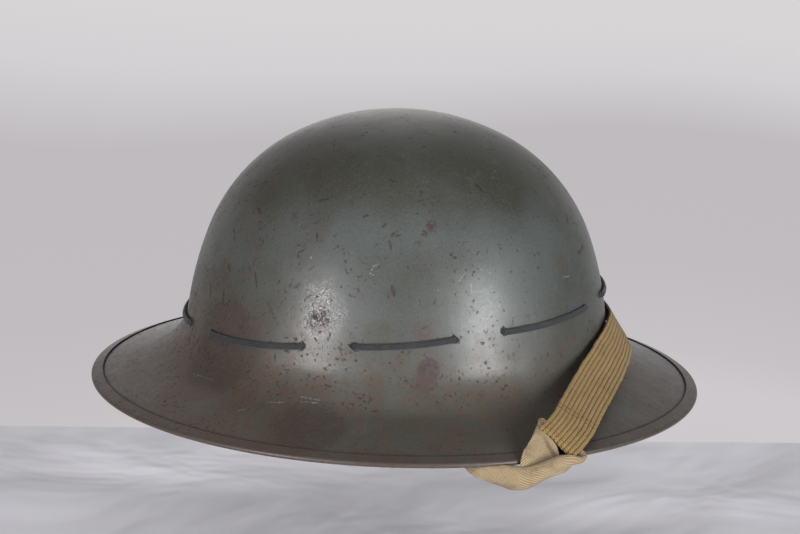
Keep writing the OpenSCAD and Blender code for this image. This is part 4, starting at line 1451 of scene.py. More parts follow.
@dataclass
class Lacing:
    """The lace through the sixteen holes, with its knot and two ends."""

    wardrobe: Wardrobe
    knot_pair: int = 4
    knot_d: float = 7.0
    knot_size: float = 0.78
    tail: float = 24.0
    sides: int = 14
    swell: float = 0.27
    flatten: float = 0.24
    spread: float = 0.12

    def through(self, pair: int, way: int) -> list[np.ndarray]:
        """Points through a hole from outside in.

        Args:
            pair: The pair's number.
            way: Which hole of the pair.

        Returns:
            The points.
        """
        b, out, inside = Holes.bend, Holes.outside, Holes.inside
        low = Holes.at(pair, way, -way * b, inside + 0.1)
        low[2] += (Holes.loop(pair)[2] - low[2]) * 0.6
        return [Holes.at(pair, way, way * b, out), Holes.at(pair, way, way * b * 0.3, out - b * 0.3),
                Holes.at(pair, way, 0, out - b), Holes.at(pair, way, 0, inside + b),
                Holes.at(pair, way, -way * b * 0.3, inside + b * 0.3), low]

    def route(self) -> tuple[np.ndarray, np.ndarray]:
        """The lace's route and its knot's middle.

        Returns:
            The stations and the middle.
        """
        k = self.knot_pair
        knot = Holes.at(k, 1, 5, -FORM.wall - self.knot_d / 2 - 0.5) - (0, 0, 1)
        points = [knot, Holes.at(k, 1, 1.4, Holes.inside + 1.6), Holes.at(k, 1, 0.3, Holes.inside + 2.6)]
        points += self.through(k, 1)[:3][::-1]
        for n in range(8):
            pair, after = (k + n) % 8, (k + n + 1) % 8
            a, b = Holes.angle(pair, 1), Holes.angle((pair + 1) % 8, -1) + (360 if pair == 7 else 0)
            points += [Holes.point(a + (b - a) * i / 6, Holes.outside) - (0, 0, Holes.sag * sin(pi * i / 6))
                       for i in range(1, 6)]
            points += self.through(after, -1)
            c, t = Holes.loop(after), Holes.along(after)
            points += [c - (FORM.tape_w / 2 + FORM.fit) * t, c + (FORM.tape_w / 2 + (1.1 if n == 7 else FORM.fit)) * t]
            if n < 7:
                points += self.through(after, 1)[::-1]
        points += [Holes.at(k, 1, a, Holes.inside - off) - (0, 0, down)
                   for a, off, down in ((-0.9, 1.5, 0.9), (0.7, 2.7, 1.6), (2.6, 2.2, 1.7))]
        return np.array(points + [knot]), knot

    def build(self) -> None:
        """Builds the lace as one piece."""
        path, knot = self.route()
        dense = smooth(path, 5)
        away, down = Holes.along(self.knot_pair), np.array([0, 0, -1.0])
        parts = [self.cord("lace_run", dense)]
        a = np.linspace(0, 2 * pi, 90)[:-1]
        turns = np.stack([np.sin(a) + 2 * np.sin(2 * a), -np.sin(3 * a) * 1.1, np.cos(a) - 2 * np.cos(2 * a)], 1)
        parts.append(self.cord("lace_knot", knot + turns * self.knot_size))
        for end in ([knot, knot + 3 * away + 3 * down, knot + 5 * away + 8 * down,
                     knot + 5.5 * away + self.tail * 0.6 * down, knot + 6 * away + self.tail * down],
                    [knot, knot - 0.5 * away + 5 * down, knot + 0.4 * away + 10 * down,
                     knot + self.tail * 0.85 * down]):
            parts.append(self.cord("lace_end", smooth(np.array(end), 8), True))
        self.wardrobe.wear(Maker.join("lace_cord", parts), Slot.LACE, HELMET, "lace")

    def cord(self, name: str, path: np.ndarray, tip: bool = False) -> Piece:
        """A round lace along a path.

        Args:
            name: Its name.
            path: Its middle line.
            tip: Whether its end frays into a point.

        Returns:
            The piece.
        """
        s = lengths(path)
        radius = np.full(len(path), FORM.lace_d / 2 - 0.02)
        if tip:
            left = s[-1] - s
            radius *= np.clip(0.55 + left / 5, 0, 1) + 0.12 * np.exp(-((left - 1.2) / 0.8) ** 2)
        if name == "lace_run":
            radius += self.swell * np.exp(-((self.off(path) + 0.35) / 0.9) ** 2)
        rings, uv = round_rings(path, radius, self.sides)
        if name == "lace_run":
            self.press(rings, path)
            rings += unit(rings - path[:, None]) * (wobble(rings, 3.0, 2.0) * 0.08)[..., None]
        return Maker.skin(name, rings, uv)

    @staticmethod
    def off(path: np.ndarray) -> np.ndarray:
        """How far each point of a path stands off the steel's outer face."""
        radius = np.array([wall_r(z) for z in path[:, 2]])
        return np.hypot(path[:, 0], path[:, 1] / FORM.oval) - radius

    @classmethod
    def press(cls, rings: np.ndarray, path: np.ndarray) -> None:
        """Flattens the lace where it is drawn tight over the steel.

        Args:
            rings: The lace's rings, which are changed.
            path: Its middle line.
        """
        outside = np.clip((cls.off(path) - 0.2) / 0.7, 0, 1)[:, None]
        away = unit(path * (1, 1, 0))
        rel = rings - path[:, None]
        depth = np.einsum("ijk,ik->ij", rel, away)
        rings -= (depth * cls.flatten * outside)[..., None] * away[:, None]
        rings[..., 2] += rel[..., 2] * cls.spread * outside


@dataclass
class Cradle:
    """Four tapes under the crown, the pad below them and the sewing that holds them."""

    wardrobe: Wardrobe
    stitches: bpy.types.NodeTree
    thread: bpy.types.NodeTree
    pad_r: float = 30.0
    pad_t: float = 3.0
    square: float = 13.0
    bar_drops: tuple = (3, 8, 13)
    bar_w: float = 11.0
    bar_h: float = 0.55
    bar_points: int = 19
    names: tuple = ("front_right", "side_right", "side_left", "front_left")
    layers: tuple = (2, 0, 1, 3)

    @property
    def band_out(self) -> float:
        """Half length of the headband's outer face."""
        return FORM.head_a + FORM.band_t

    @property
    def band_k(self) -> float:
        """Width of the headband over its length."""
        return FORM.head_b / FORM.head_a

    def band_z(self, x: float) -> float:
        """Height of the headband's upper edge."""
        return Holes.height - 7.0 + tan(radians(Holes.tilt)) * x

    def band_reach(self, turn: float) -> float:
        """Distance of the headband's outer face from the middle."""
        return 1 / hypot(cos(turn) / self.band_out, sin(turn) / (self.band_out * self.band_k))

    def arm(self, pair: int, top: float) -> np.ndarray:
        """Line of half a tape, as distance and height.

        Args:
            pair: The pair that it hangs on.
            top: Height of its flat middle.

        Returns:
            The points from the middle outwards.
        """
        turn = Holes.turn(pair)
        c = Holes.loop(pair)
        reach, r = hypot(c[0], c[1]), FORM.lace_d / 2 + FORM.fit + FORM.tape_t / 2
        s1, z1 = reach - r, c[2]
        s2, z2 = self.band_reach(turn) + FORM.fit + FORM.tape_t / 2, self.band_z(c[0]) + 0.8
        rows = [(0.0, top), (FORM.cradle_flat * 0.5, top)]
        rows += [(FORM.cradle_flat + (s1 - FORM.cradle_flat) * sin(a), z1 + (top - z1) * cos(a))
                 for a in np.radians(np.arange(0, 91, 5))]
        rows += [(s1 + 0.05, z1 - 0.8), (s2 - 0.1, z2 + 1.2), (s2, z2 - 0.4)]
        rows += [(s2, z2 - d) for d in (3, 6, 9, 12, 14.3)]
        return np.array(rows)

    def tape(self, index: int) -> None:
        """Builds one tape with its two loops.

        Args:
            index: The tape's number.
        """
        top = FORM.cradle_h + self.layers[index] * (FORM.tape_t + FORM.fit)
        parts, halves = [], []
        for pair, sign in ((index, 1), (index + 4, -1)):
            arm = self.arm(pair, top)
            t = Holes.turn(pair)
            halves.append(np.stack([arm[:, 0] * cos(t), arm[:, 0] * sin(t), arm[:, 1]], 1))
        line = np.vstack([halves[1][::-1], halves[0][1:]])
        turn = Holes.turn(index)
        across = np.array([-sin(turn), cos(turn), 0.0])
        dense = smooth(line, 3)
        parts.append(self.ribbon("tape_run", dense, across, index))
        for pair in (index, index + 4):
            c, t = Holes.loop(pair), Holes.turn(pair)
            out = np.array([cos(t), sin(t), 0.0])
            r = FORM.lace_d / 2 + FORM.fit + FORM.tape_t / 2
            a = np.linspace(radians(200), radians(-150), 26)
            ring = c + r * (np.cos(a)[:, None] * out + np.sin(a)[:, None] * np.array([0, 0, 1.0]))
            parts.append(self.ribbon("tape_loop", ring, across, index + 7))
        name = self.names[index]
        self.wardrobe.wear(Maker.join("tape_" + name, parts), Slot.TAPE, HELMET, "cradle_tape_" + name)

    def ribbon(self, name: str, line: np.ndarray, across: np.ndarray, seed: float) -> Piece:
        """A flat tape along a line.

        Args:
            name: Its name.
            line: Its middle line.
            across: Direction of its width.
            seed: Seed of its unevenness.

        Returns:
            The piece.
        """
        t = headings(line)
        face = unit(np.cross(across[None], t))
        w = FORM.tape_w - 0.1
        place = np.linspace(-0.5, 0.5, 13)
        half = (FORM.tape_t / 2 - 0.03) * np.clip(1 - (np.abs(place) * 2) ** 14, 0.35, 1)
        row = np.concatenate([np.stack([place * w, half], 1), np.stack([place[::-1] * w, -half[::-1]], 1)])
        rings = line[:, None] + row[None, :, :1] * across + row[None, :, 1:] * face[:, None]
        uv = Maker.uv(lengths(line) + seed * 3.3, np.append(row[:, 0], row[0, 0]) + w / 2)
        return Maker.skin(name, rings, uv)

    def build(self) -> None:
        """Builds the tapes, the pad and the sewing."""
        for index in range(4):
            self.tape(index)
        self.pad()
        self.sewing()

    def pad(self) -> None:
        """Builds the felt pad and its facing."""
        base = FORM.cradle_h - FORM.tape_t / 2 - FORM.fit - self.pad_t
        felt = self.disc("crown_pad_felt", self.pad_r, base, base + self.pad_t - 0.05, 1.1, 0.25)
        self.wardrobe.wear(felt, Slot.FELT, HELMET, "crown_felt")
        low = FORM.cradle_h - FORM.tape_t / 2 - 2 * FORM.fit - self.pad_t - FORM.cloth_t
        facing = self.disc("crown_pad_facing", self.pad_r, low, low + FORM.cloth_t, 0.3, 0.12)
        self.wardrobe.wear(facing, Slot.CLOTH, HELMET, "crown_facing")

    def disc(self, name: str, radius: float, low: float, high: float, edge: float, wave: float) -> Piece:
        """A round pad with soft edges.

        Args:
            name: Its name.
            radius: Its radius.
            low: Height of its lower face.
            high: Height of its upper face.
            edge: Radius of its rounded edge.
            wave: Unevenness of its outline.

        Returns:
            The piece.
        """
        edge = min(edge, (high - low) / 2 - 0.01)
        rows = [(r, low) for r in np.linspace(0.01, radius - edge, 14)]
        rows += [(radius - edge + edge * sin(a), low + edge - edge * cos(a))
                 for a in np.linspace(0.3, pi / 2, 5)]
        rows += [(radius - edge + edge * sin(a), high - edge + edge * cos(a))
                 for a in np.linspace(pi / 2, 0.3, 5)]
        rows += [(r, high) for r in np.linspace(radius - edge, 0.01, 14)]
        a = np.linspace(0, 2 * pi, 97)[:-1]
        rings = np.array([[(r * cos(b), r * sin(b), z) for b in a] for r, z in rows])
        dips = np.linalg.norm(rings[..., :2], axis=-1, keepdims=True) / radius
        rings[..., :2] *= 1 - (wave / radius) * (1 + wobble(rings * (1, 1, 0), 9.0, 2.0))[..., None] * dips ** 4
        return Maker.skin(name, rings)

    def sewing(self) -> None:
        """Sews the crossing square, and the tape ends to the headband."""
        h = self.square / 2
        up = FORM.cradle_h + 3 * (FORM.tape_t + FORM.fit) + FORM.tape_t / 2 + 0.3
        down = FORM.cradle_h - FORM.tape_t / 2 - 3 * FORM.fit - self.pad_t - FORM.cloth_t - 0.25
        corners = np.array([(-h, -h), (h, -h), (h, h), (-h, h)])
        paths = []
        for z in (up, down):
            for i in range(4):
                a, b = corners[i], corners[(i + 1) % 4]
                paths.append(np.array([(*(a + (b - a) * f), z) for f in (0.02, 0.98)]))
        square = Trees.run(self.stitches, "crossing_stitches", lines("square", paths), Pitch=2.6 * MM,
                           Length=2.1 * MM, Radius=0.34 * MM, Finish=self.wardrobe.finish[Slot.THREAD])
        self.wardrobe.wear(square, Slot.THREAD, HELMET, "crown_stitches")
        bars = []
        for pair in range(8):
            turn = Holes.turn(pair)
            spot = self.band_reach(turn) + FORM.tape_t + 2 * FORM.fit + 0.3
            lean = atan2(sin(turn) / self.band_k ** 2, cos(turn))
            across = np.array([-sin(lean), cos(lean), 0.0])
            middle = np.array([spot * cos(turn), spot * sin(turn), 0.0])
            z = self.band_z(Holes.loop(pair)[0])
            for drop in self.bar_drops:
                bars.append(np.array([middle + across * (i / (self.bar_points - 1) - 0.5) * self.bar_w
                                      + (0, 0, z - drop + (self.bar_h if i % 2 else -self.bar_h))
                                      for i in range(self.bar_points)]))
        tacks = Trees.run(self.thread, "tape_bartacks", lines("bars", bars), Radius=0.3 * MM,
                          Finish=self.wardrobe.finish[Slot.THREAD])
        self.wardrobe.wear(tacks, Slot.THREAD, HELMET, "bartacks")


@dataclass
class Headband:
    """Leathercloth folded round felt, with eyelets, closing cord and edge stitches."""

    wardrobe: Wardrobe
    cradle: Cradle
    stitches: bpy.types.NodeTree
    gap: float = 22.0
    eyelet_side: float = 18.0
    eyelet_pitch: float = 14.0
    back_bore: float = 1.9
    back_leaf: float = 4.0
    side_bore: float = 2.7
    side_leaf: float = 5.1
    rolled: float = 0.4
    cord_d: float = 2.4
    cord_bend: float = 1.6
    seam_in: float = 3.0
    steps: int = 220

    def ring_profile(self, name: str, offsets: Sequence[tuple[float, float]], slot: Slot, node: str) -> None:
        """Sweeps a closed section round the head.

        Args:
            name: The piece's name.
            offsets: Distance outwards from the opening and height over the lower edge.
            slot: Its finish.
            node: The solid that it stands for.
        """
        rings = np.stack([self.round(off, up, 0.0, self.steps) for off, up in offsets], 1)
        uv = Maker.uv(lengths(rings[:, 0]), np.append([o[1] for o in offsets], offsets[0][1]))
        self.wardrobe.wear(Maker.skin(name, rings, uv), slot, HELMET, node)

    def round(self, off: float, up: float, short: float, count: int) -> np.ndarray:
        """A line along the band, from one of its ends to the other.

        Args:
            off: Distance outwards from the opening.
            up: Height over the lower edge.
            short: Angle in radians by which it stops before each end.
            count: Number of its points.

        Returns:
            The points.
        """
        tilt = radians(Holes.tilt)
        foot = (Holes.height - 7.0) * cos(tilt) - FORM.band_h
        end = pi - asin(self.gap / 2 / FORM.head_b) - short
        a, r = np.linspace(-end, end, count), FORM.head_a + off
        x = r * np.cos(a)
        return np.stack([x, self.cradle.band_k * r * np.sin(a), (foot + up) / cos(tilt) + tan(tilt) * x], 1)

    def build(self) -> None:
        """Builds the band, felt, eyelets, cord and stitches."""
        c, f, g, h = FORM.cloth_t, FORM.felt_t, FORM.fit, FORM.band_h
        full, top = FORM.band_t, 0.12
        outer = [(0.0, h - top), (top, h), (c - top, h), (c, h - top), (c, 8.0), (c, c), (full - c, c),
                 (full - c, 8.0), (full - c, h - top), (full - c + top, h), (full - top, h), (full, h - top),
                 (full, 22.0), (full, 12.0), (full, 4.0), (full, 0.9), (full - 0.3, 0.3), (full - 0.9, 0.0),
                 (0.9, 0.0), (0.3, 0.3), (0.0, 0.9), (0.0, 4.0), (0.0, 12.0), (0.0, 22.0)]
        self.ring_profile("headband_leathercloth", outer, Slot.CLOTH, "headband")
        lo, hi = c + g, c + g + f
        felt = [(lo + 0.4, h - 1), (hi - 0.4, h - 1), (hi, h - 1.5), (hi, 16), (hi, c + g + 0.3), (hi - 0.3, c + g),
                (lo + 0.3, c + g), (lo, c + g + 0.3), (lo, 16), (lo, h - 1.5)]
        self.ring_profile("headband_felt_strip", felt, Slot.FELT, "headband_felt")
        self.eyelets()
        self.cord()
        self.side_eyelets()
        self.edge_stitches()

    def mid(self) -> float:
        """Half length of the band's middle layer."""
        return FORM.head_a + FORM.cloth_t + FORM.fit + FORM.felt_t / 2

    def eyelet_frame(self, way: int, up: int) -> tuple[np.ndarray, np.ndarray]:
        """Middle and axis of a back eyelet.

        Args:
            way: Its side.
            up: 1 for the upper one and -1 for the lower.

        Returns:
            The middle and the outward axis.
        """
        k = self.cradle.band_k
        at = asin(self.eyelet_side / (self.mid() * k))
        lean = atan2(sin(at) / k, cos(at))
        z = self.cradle.band_z(-self.mid()) - FORM.band_h / 2 + up * self.eyelet_pitch / 2
        a = pi - way * lean
        return (np.array([-self.mid() * cos(at), way * self.eyelet_side, z]),
                np.array([cos(a), sin(a), 0.0]))

    def ring(self, middle: np.ndarray, axis: np.ndarray, bore: float, length: float,
             leaf: float) -> Piece:
        """A pressed eyelet with rolled leaves.

        Args:
            middle: Its middle.
            axis: Its axis.
            bore: Radius of its bore.
            length: Distance between its leaves.
            leaf: Radius of its leaves.

        Returns:
            The piece.
        """
        h, rolled = length / 2, self.rolled
        section = [(bore, 0.0), (bore, h * 0.7)]
        section += [(bore + 0.75 - 0.75 * cos(a), h + (rolled + 0.15) * sin(a))
                    for a in np.linspace(0, pi * 0.62, 6)]
        section += [(leaf - 0.15, h + rolled * 0.9), (leaf, h + rolled * 0.5), (leaf - 0.1, h), (bore + 0.6, h),
                    (bore + 0.6, 0.0)]
        whole = section + [(r, -z) for r, z in section[::-1][1:-1]]
        u = unit(np.cross(axis, (0, 0, 1.0)))
        w = np.cross(axis, u)
        a = np.linspace(0, 2 * pi, 41)[:-1]
        rings = np.array([[middle + r * (cos(b) * u + sin(b) * w) + z * axis for r, z in whole] for b in a])
        return Maker.skin("eyelet", rings, None, closed=True)

    def eyelets(self) -> None:
        """Builds the four back eyelets."""
        parts = []
        for way in (-1, 1):
            for up in (-1, 1):
                middle, axis = self.eyelet_frame(way, up)
                parts.append(self.ring(middle, axis, self.back_bore, FORM.band_t + 0.5, self.back_leaf))
        self.wardrobe.wear(Maker.join("closing_eyelets", parts), Slot.BRASS, HELMET, "back_eyelets")

    def side_eyelets(self) -> None:
        """Builds the eyelet for each tie tape."""
        k = self.cradle.band_k
        sag = 5.2 ** 2 * k / self.cradle.band_out / 2
        out = k * self.cradle.band_out + FORM.fit / 2
        inside = k * (self.cradle.band_out - FORM.cloth_t) - sag - FORM.fit / 2
        for side in Side:
            middle = np.array([0.0, side.value * (out + inside) / 2, FORM.tie_h])
            axis = np.array([0.0, side.value, 0.0])
            made = self.ring(middle, axis, self.side_bore, out - inside, self.side_leaf)
            made.name = "tie_eyelet_" + side.word
            self.wardrobe.wear(made, Slot.BRASS, HELMET, "strap_eyelet_" + side.word)

    def cord(self) -> None:
        """Builds the cord that closes the band."""
        half = FORM.band_t / 2
        off = half + 0.4 + 0.25 + self.cord_d / 2 + 0.25
        r, knot_r = self.cord_bend, 1.05 * self.cord_d

        def spot(way: int, up: int, out: float) -> np.ndarray:
            """Point on an eyelet's axis.

            Args:
                way: The eyelet's side.
                up: 1 for upper, -1 for lower, 0 between them.
                out: Distance outwards.

            Returns:
                The point.
            """
            if up == 0:
                a, b = self.eyelet_frame(way, 1), self.eyelet_frame(way, -1)
                return (a[0] + b[0]) / 2 + out * a[1]
            c, axis = self.eyelet_frame(way, up)
            return c + out * axis

        def outside(way: int, up: int) -> list[np.ndarray]:
            """Points where the cord turns in from the outside."""
            return [spot(way, up, off) - (0, 0, up * r), spot(way, up, off - r * 0.3) - (0, 0, up * r * 0.3),
                    spot(way, up, off - r)]

        def inside(way: int, up: int) -> list[np.ndarray]:
            """Points where the cord turns across on the inside."""
            return [spot(way, up, r - off), spot(way, up, -off + r * 0.3) - (0, way * r * 0.3, 0),
                    spot(way, up, -off) - (0, way * r, 0)]

        knot = spot(-1, 0, half + knot_r + 3 * FORM.fit)
        path = ([knot] + outside(-1, 1) + inside(-1, 1) + inside(1, 1)[::-1] + outside(1, 1)[::-1]
                + outside(1, -1) + inside(1, -1) + inside(-1, -1)[::-1] + outside(-1, -1)[::-1] + [knot])
        run = round_rings(smooth(np.array(path), 5), self.cord_d / 2, 12, (0, 1, 0))
        a = np.linspace(0, 2 * pi, 70)[:-1]
        turns = np.stack([-np.sin(3 * a) * 0.9, np.sin(a) + 2 * np.sin(2 * a), np.cos(a) - 2 * np.cos(2 * a)], 1)
        parts = [Maker.skin("closing_cord", *run),
                 Maker.skin("closing_knot", *round_rings(knot + turns * 0.5, self.cord_d * 0.4, 10))]
        self.wardrobe.wear(Maker.join("closing_cord", parts), Slot.CORD, HELMET, "back_cord")

    def edge_stitches(self) -> None:
        """Sews two rows round the band's inner face."""
        paths = [self.round(off, up, 0.03, 200) for up in (self.seam_in, FORM.band_h - self.seam_in)
                 for off in (-0.12, FORM.band_t + 0.12)]
        made = Trees.run(self.stitches, "headband_stitches", lines("rows", paths), Pitch=3.4 * MM, Length=2.6 * MM,
                         Radius=0.3 * MM, Finish=self.wardrobe.finish[Slot.THREAD])
        self.wardrobe.wear(made, Slot.THREAD, HELMET)


@dataclass
class ChinStrap:
    """The elastic strap over the front of the crown."""

    wardrobe: Wardrobe
    stitches: bpy.types.NodeTree
    width: float = 21.5
    inset: float = 7.8
    thick: float = 1.4
    slot_h: float = 1.5
    ribs: int = 10
    groove: float = 0.28
    wave: float = 0.12
    nap: float = 0.06
    ravel: float = 0.32
    strand_r: float = 0.2
    seam: float = 9.6
    steps: int = 12
    stations: tuple = (
        (0, 0, 9.9, 0, 58.6), (13, 0, 11.2, -6.3, 53.9), (22.5, 0.038, 10.9, -15.5, 49.2),
        (28.5, 0.079, 10.6, -24.3, 45), (38, 0.2, 10, -25.9, 37), (46.5, 0.39, 9.25, -21.8, 30.8),
        (52.7, 0.595, 9, -16.2, 28.8), (57.6, 0.811, 9.2, -12.2, 28), (62.1, 0.984, 8.3, -12, 28.7))
    strands: tuple = (
        ((0.5, -3.4, 0.2), (-1.2, -3.0, 0.8), (-2.6, -1.6, 1.0), (-2.7, 0.2, 0.6), (-1.2, 0.8, 0.2), (0.5, 0.4, -0.1)),
        ((0.6, -1.6, 0.1), (-0.8, -1.8, 0.5), (-1.6, -1.0, 0.3), (-0.9, 0.1, 0.1), (0.5, -0.2, 0.0)),
        ((0.5, 0.4, 0.0), (-0.5, 1.2, -0.4), (-1.0, 2.6, -1.4), (-0.6, 3.8, -2.6)),
        ((1.6, 0.6, -0.2), (1.4, 1.6, -1.0), (0.6, 2.6, -2.2), (0.9, 3.4, -3.2)))

    def frames(self) -> tuple[np.ndarray, np.ndarray, np.ndarray, np.ndarray]:
        """Middle line of the right half and its width, face and heading directions.

        Returns:
            The line and the three directions at each of its points.
        """
        rows = smooth(np.array(self.stations), self.steps)
        inside = FORM.arcs()[2].at(1)[0] + self.inset
        r = inside + (FORM.reach - inside) * rows[:, 1]
        a = np.radians(rows[:, 0])
        line = np.stack([r * np.cos(a), -FORM.oval * r * np.sin(a), FORM.steel_z(r) + rows[:, 2]], 1)
        t = headings(line)
        t[0] = (0, -1, 0)
        b, c = np.radians(rows[:, 3]), np.radians(rows[:, 4])
        w = np.stack([np.cos(b) * np.cos(c), np.sin(b) * np.cos(c), -np.sin(c)], 1)
        w = unit(w - np.einsum("ij,ij->i", w, t)[:, None] * t)
        return line, w, np.cross(t, w), t

    def section(self) -> np.ndarray:
        """Cross-section with its ribs, as place across and height.

        Returns:
            Its points.
        """
        per = 7
        place = (np.arange(self.ribs * per + 1) / (self.ribs * per) - 0.5) * self.width
        inside = np.abs(((place / self.width + 0.5) * self.ribs) % 1 - 0.5) * 2
        top = self.thick / 2 - self.groove * inside ** 4
        top[[0, -1]] = 0.12
        return np.concatenate([np.stack([place, top], 1), np.stack([place[::-1], -top[::-1]], 1)])

    def build(self) -> None:
        """Builds the strap and its end stitches."""
        line, w, n, t = self.frames()
        row = self.section()
        last = len(line) - 1
        fold = (self.slot_h + self.thick) / 2
        frames = [(line[i], w[i], n[i]) for i in range(last + 1)]
        for a in np.radians(np.arange(15, 181, 15)):
            m = cos(a) * n[last] + sin(a) * t[last]
            frames.append((line[last] - fold * n[last] + fold * m, w[last], m))
        ratio = self.steps / 3
        for k in np.arange(1, 6 * ratio + 1):
            i = int(last - k)
            near = k / ratio
            depth = 2 * fold if near < 2.3 else self.thick + 0.1 + max(0.0, 3.4 - near) * 0.9
            frames.append((line[i] - depth * n[i], w[i], -n[i]))
        origin, wide, face = (np.array(v) for v in zip(*frames))
        rings = origin[:, None] + row[None, :, :1] * wide[:, None] + row[None, :, 1:] * face[:, None]
        edge = np.abs(row[:, 0]) / (self.width / 2)
        lift = wobble(rings, 16.0, 4.0) * self.wave + wobble(rings, 3.0, 9.0) * self.nap
        rings += lift[..., None] * face[:, None]
        ravel = wobble(rings, 2.6, 5.0) * self.ravel * (edge > 0.97)[None]
        rings += ravel[..., None] * wide[:, None] * np.sign(row[:, 0])[None, :, None]
        uv = Maker.uv(lengths(origin), np.append(row[:, 0], row[0, 0]) + self.width / 2)
        mirror, back = rings[1:] * (1, -1, 1), uv[1:] * (-1, 1)
        whole = np.concatenate([mirror[::-1], rings])
        made = Maker.skin("elastic_webbing", whole, np.concatenate([back[::-1], uv]))
        piece = Maker.join("elastic_strap", [made] + self.fray(origin[last], wide[last], face[last]))
        self.wardrobe.wear(piece, Slot.WEBBING, STRAP, "chin_strap")
        self.sew()

    def fray(self, end: np.ndarray, w: np.ndarray, n: np.ndarray) -> list[Piece]:
        """Worn threads that stand out at the inner corners of both folded ends.

        Args:
            end: Middle of the right fold.
            w: Its width direction.
            n: Its face direction.

        Returns:
            The threads.
        """
        t = np.cross(w, n)
        corner = end - (self.width / 2 - 0.2) * w
        threads = []
        for index, points in enumerate(self.strands):
            path = smooth(np.array([corner + a * w + b * t + c * n for a, b, c in points]), 6)
            for way in (1, -1):
                threads.append(Maker.skin(f"fray_{index}_{way}", *round_rings(path * (1, way, 1), self.strand_r, 8)))
        return threads

    def sew(self) -> None:
        """Sews the two folded ends."""
        line, w, n, t = self.frames()
        i = len(line) - 1 - round(5 * self.steps / 3)
        for side in Side:
            paths = []
            for row in (0, 3):
                ends = []
                for s in (-self.seam, self.seam):
                    p = line[i] + (self.thick / 2 + 0.12) * n[i] + row * t[i] + s * w[i]
                    ends.append(p * (1, -side.value, 1))
                paths.append(np.array(ends))
            made = Trees.run(self.stitches, "strap_seam_" + side.word, lines("rows", paths), Pitch=2.2 * MM,
                             Length=1.6 * MM, Radius=0.26 * MM, Finish=self.wardrobe.finish[Slot.THREAD])
            self.wardrobe.wear(made, Slot.THREAD, STRAP, "strap_stitches_" + side.word)
            made.data.materials[0] = self.wardrobe.khaki_thread


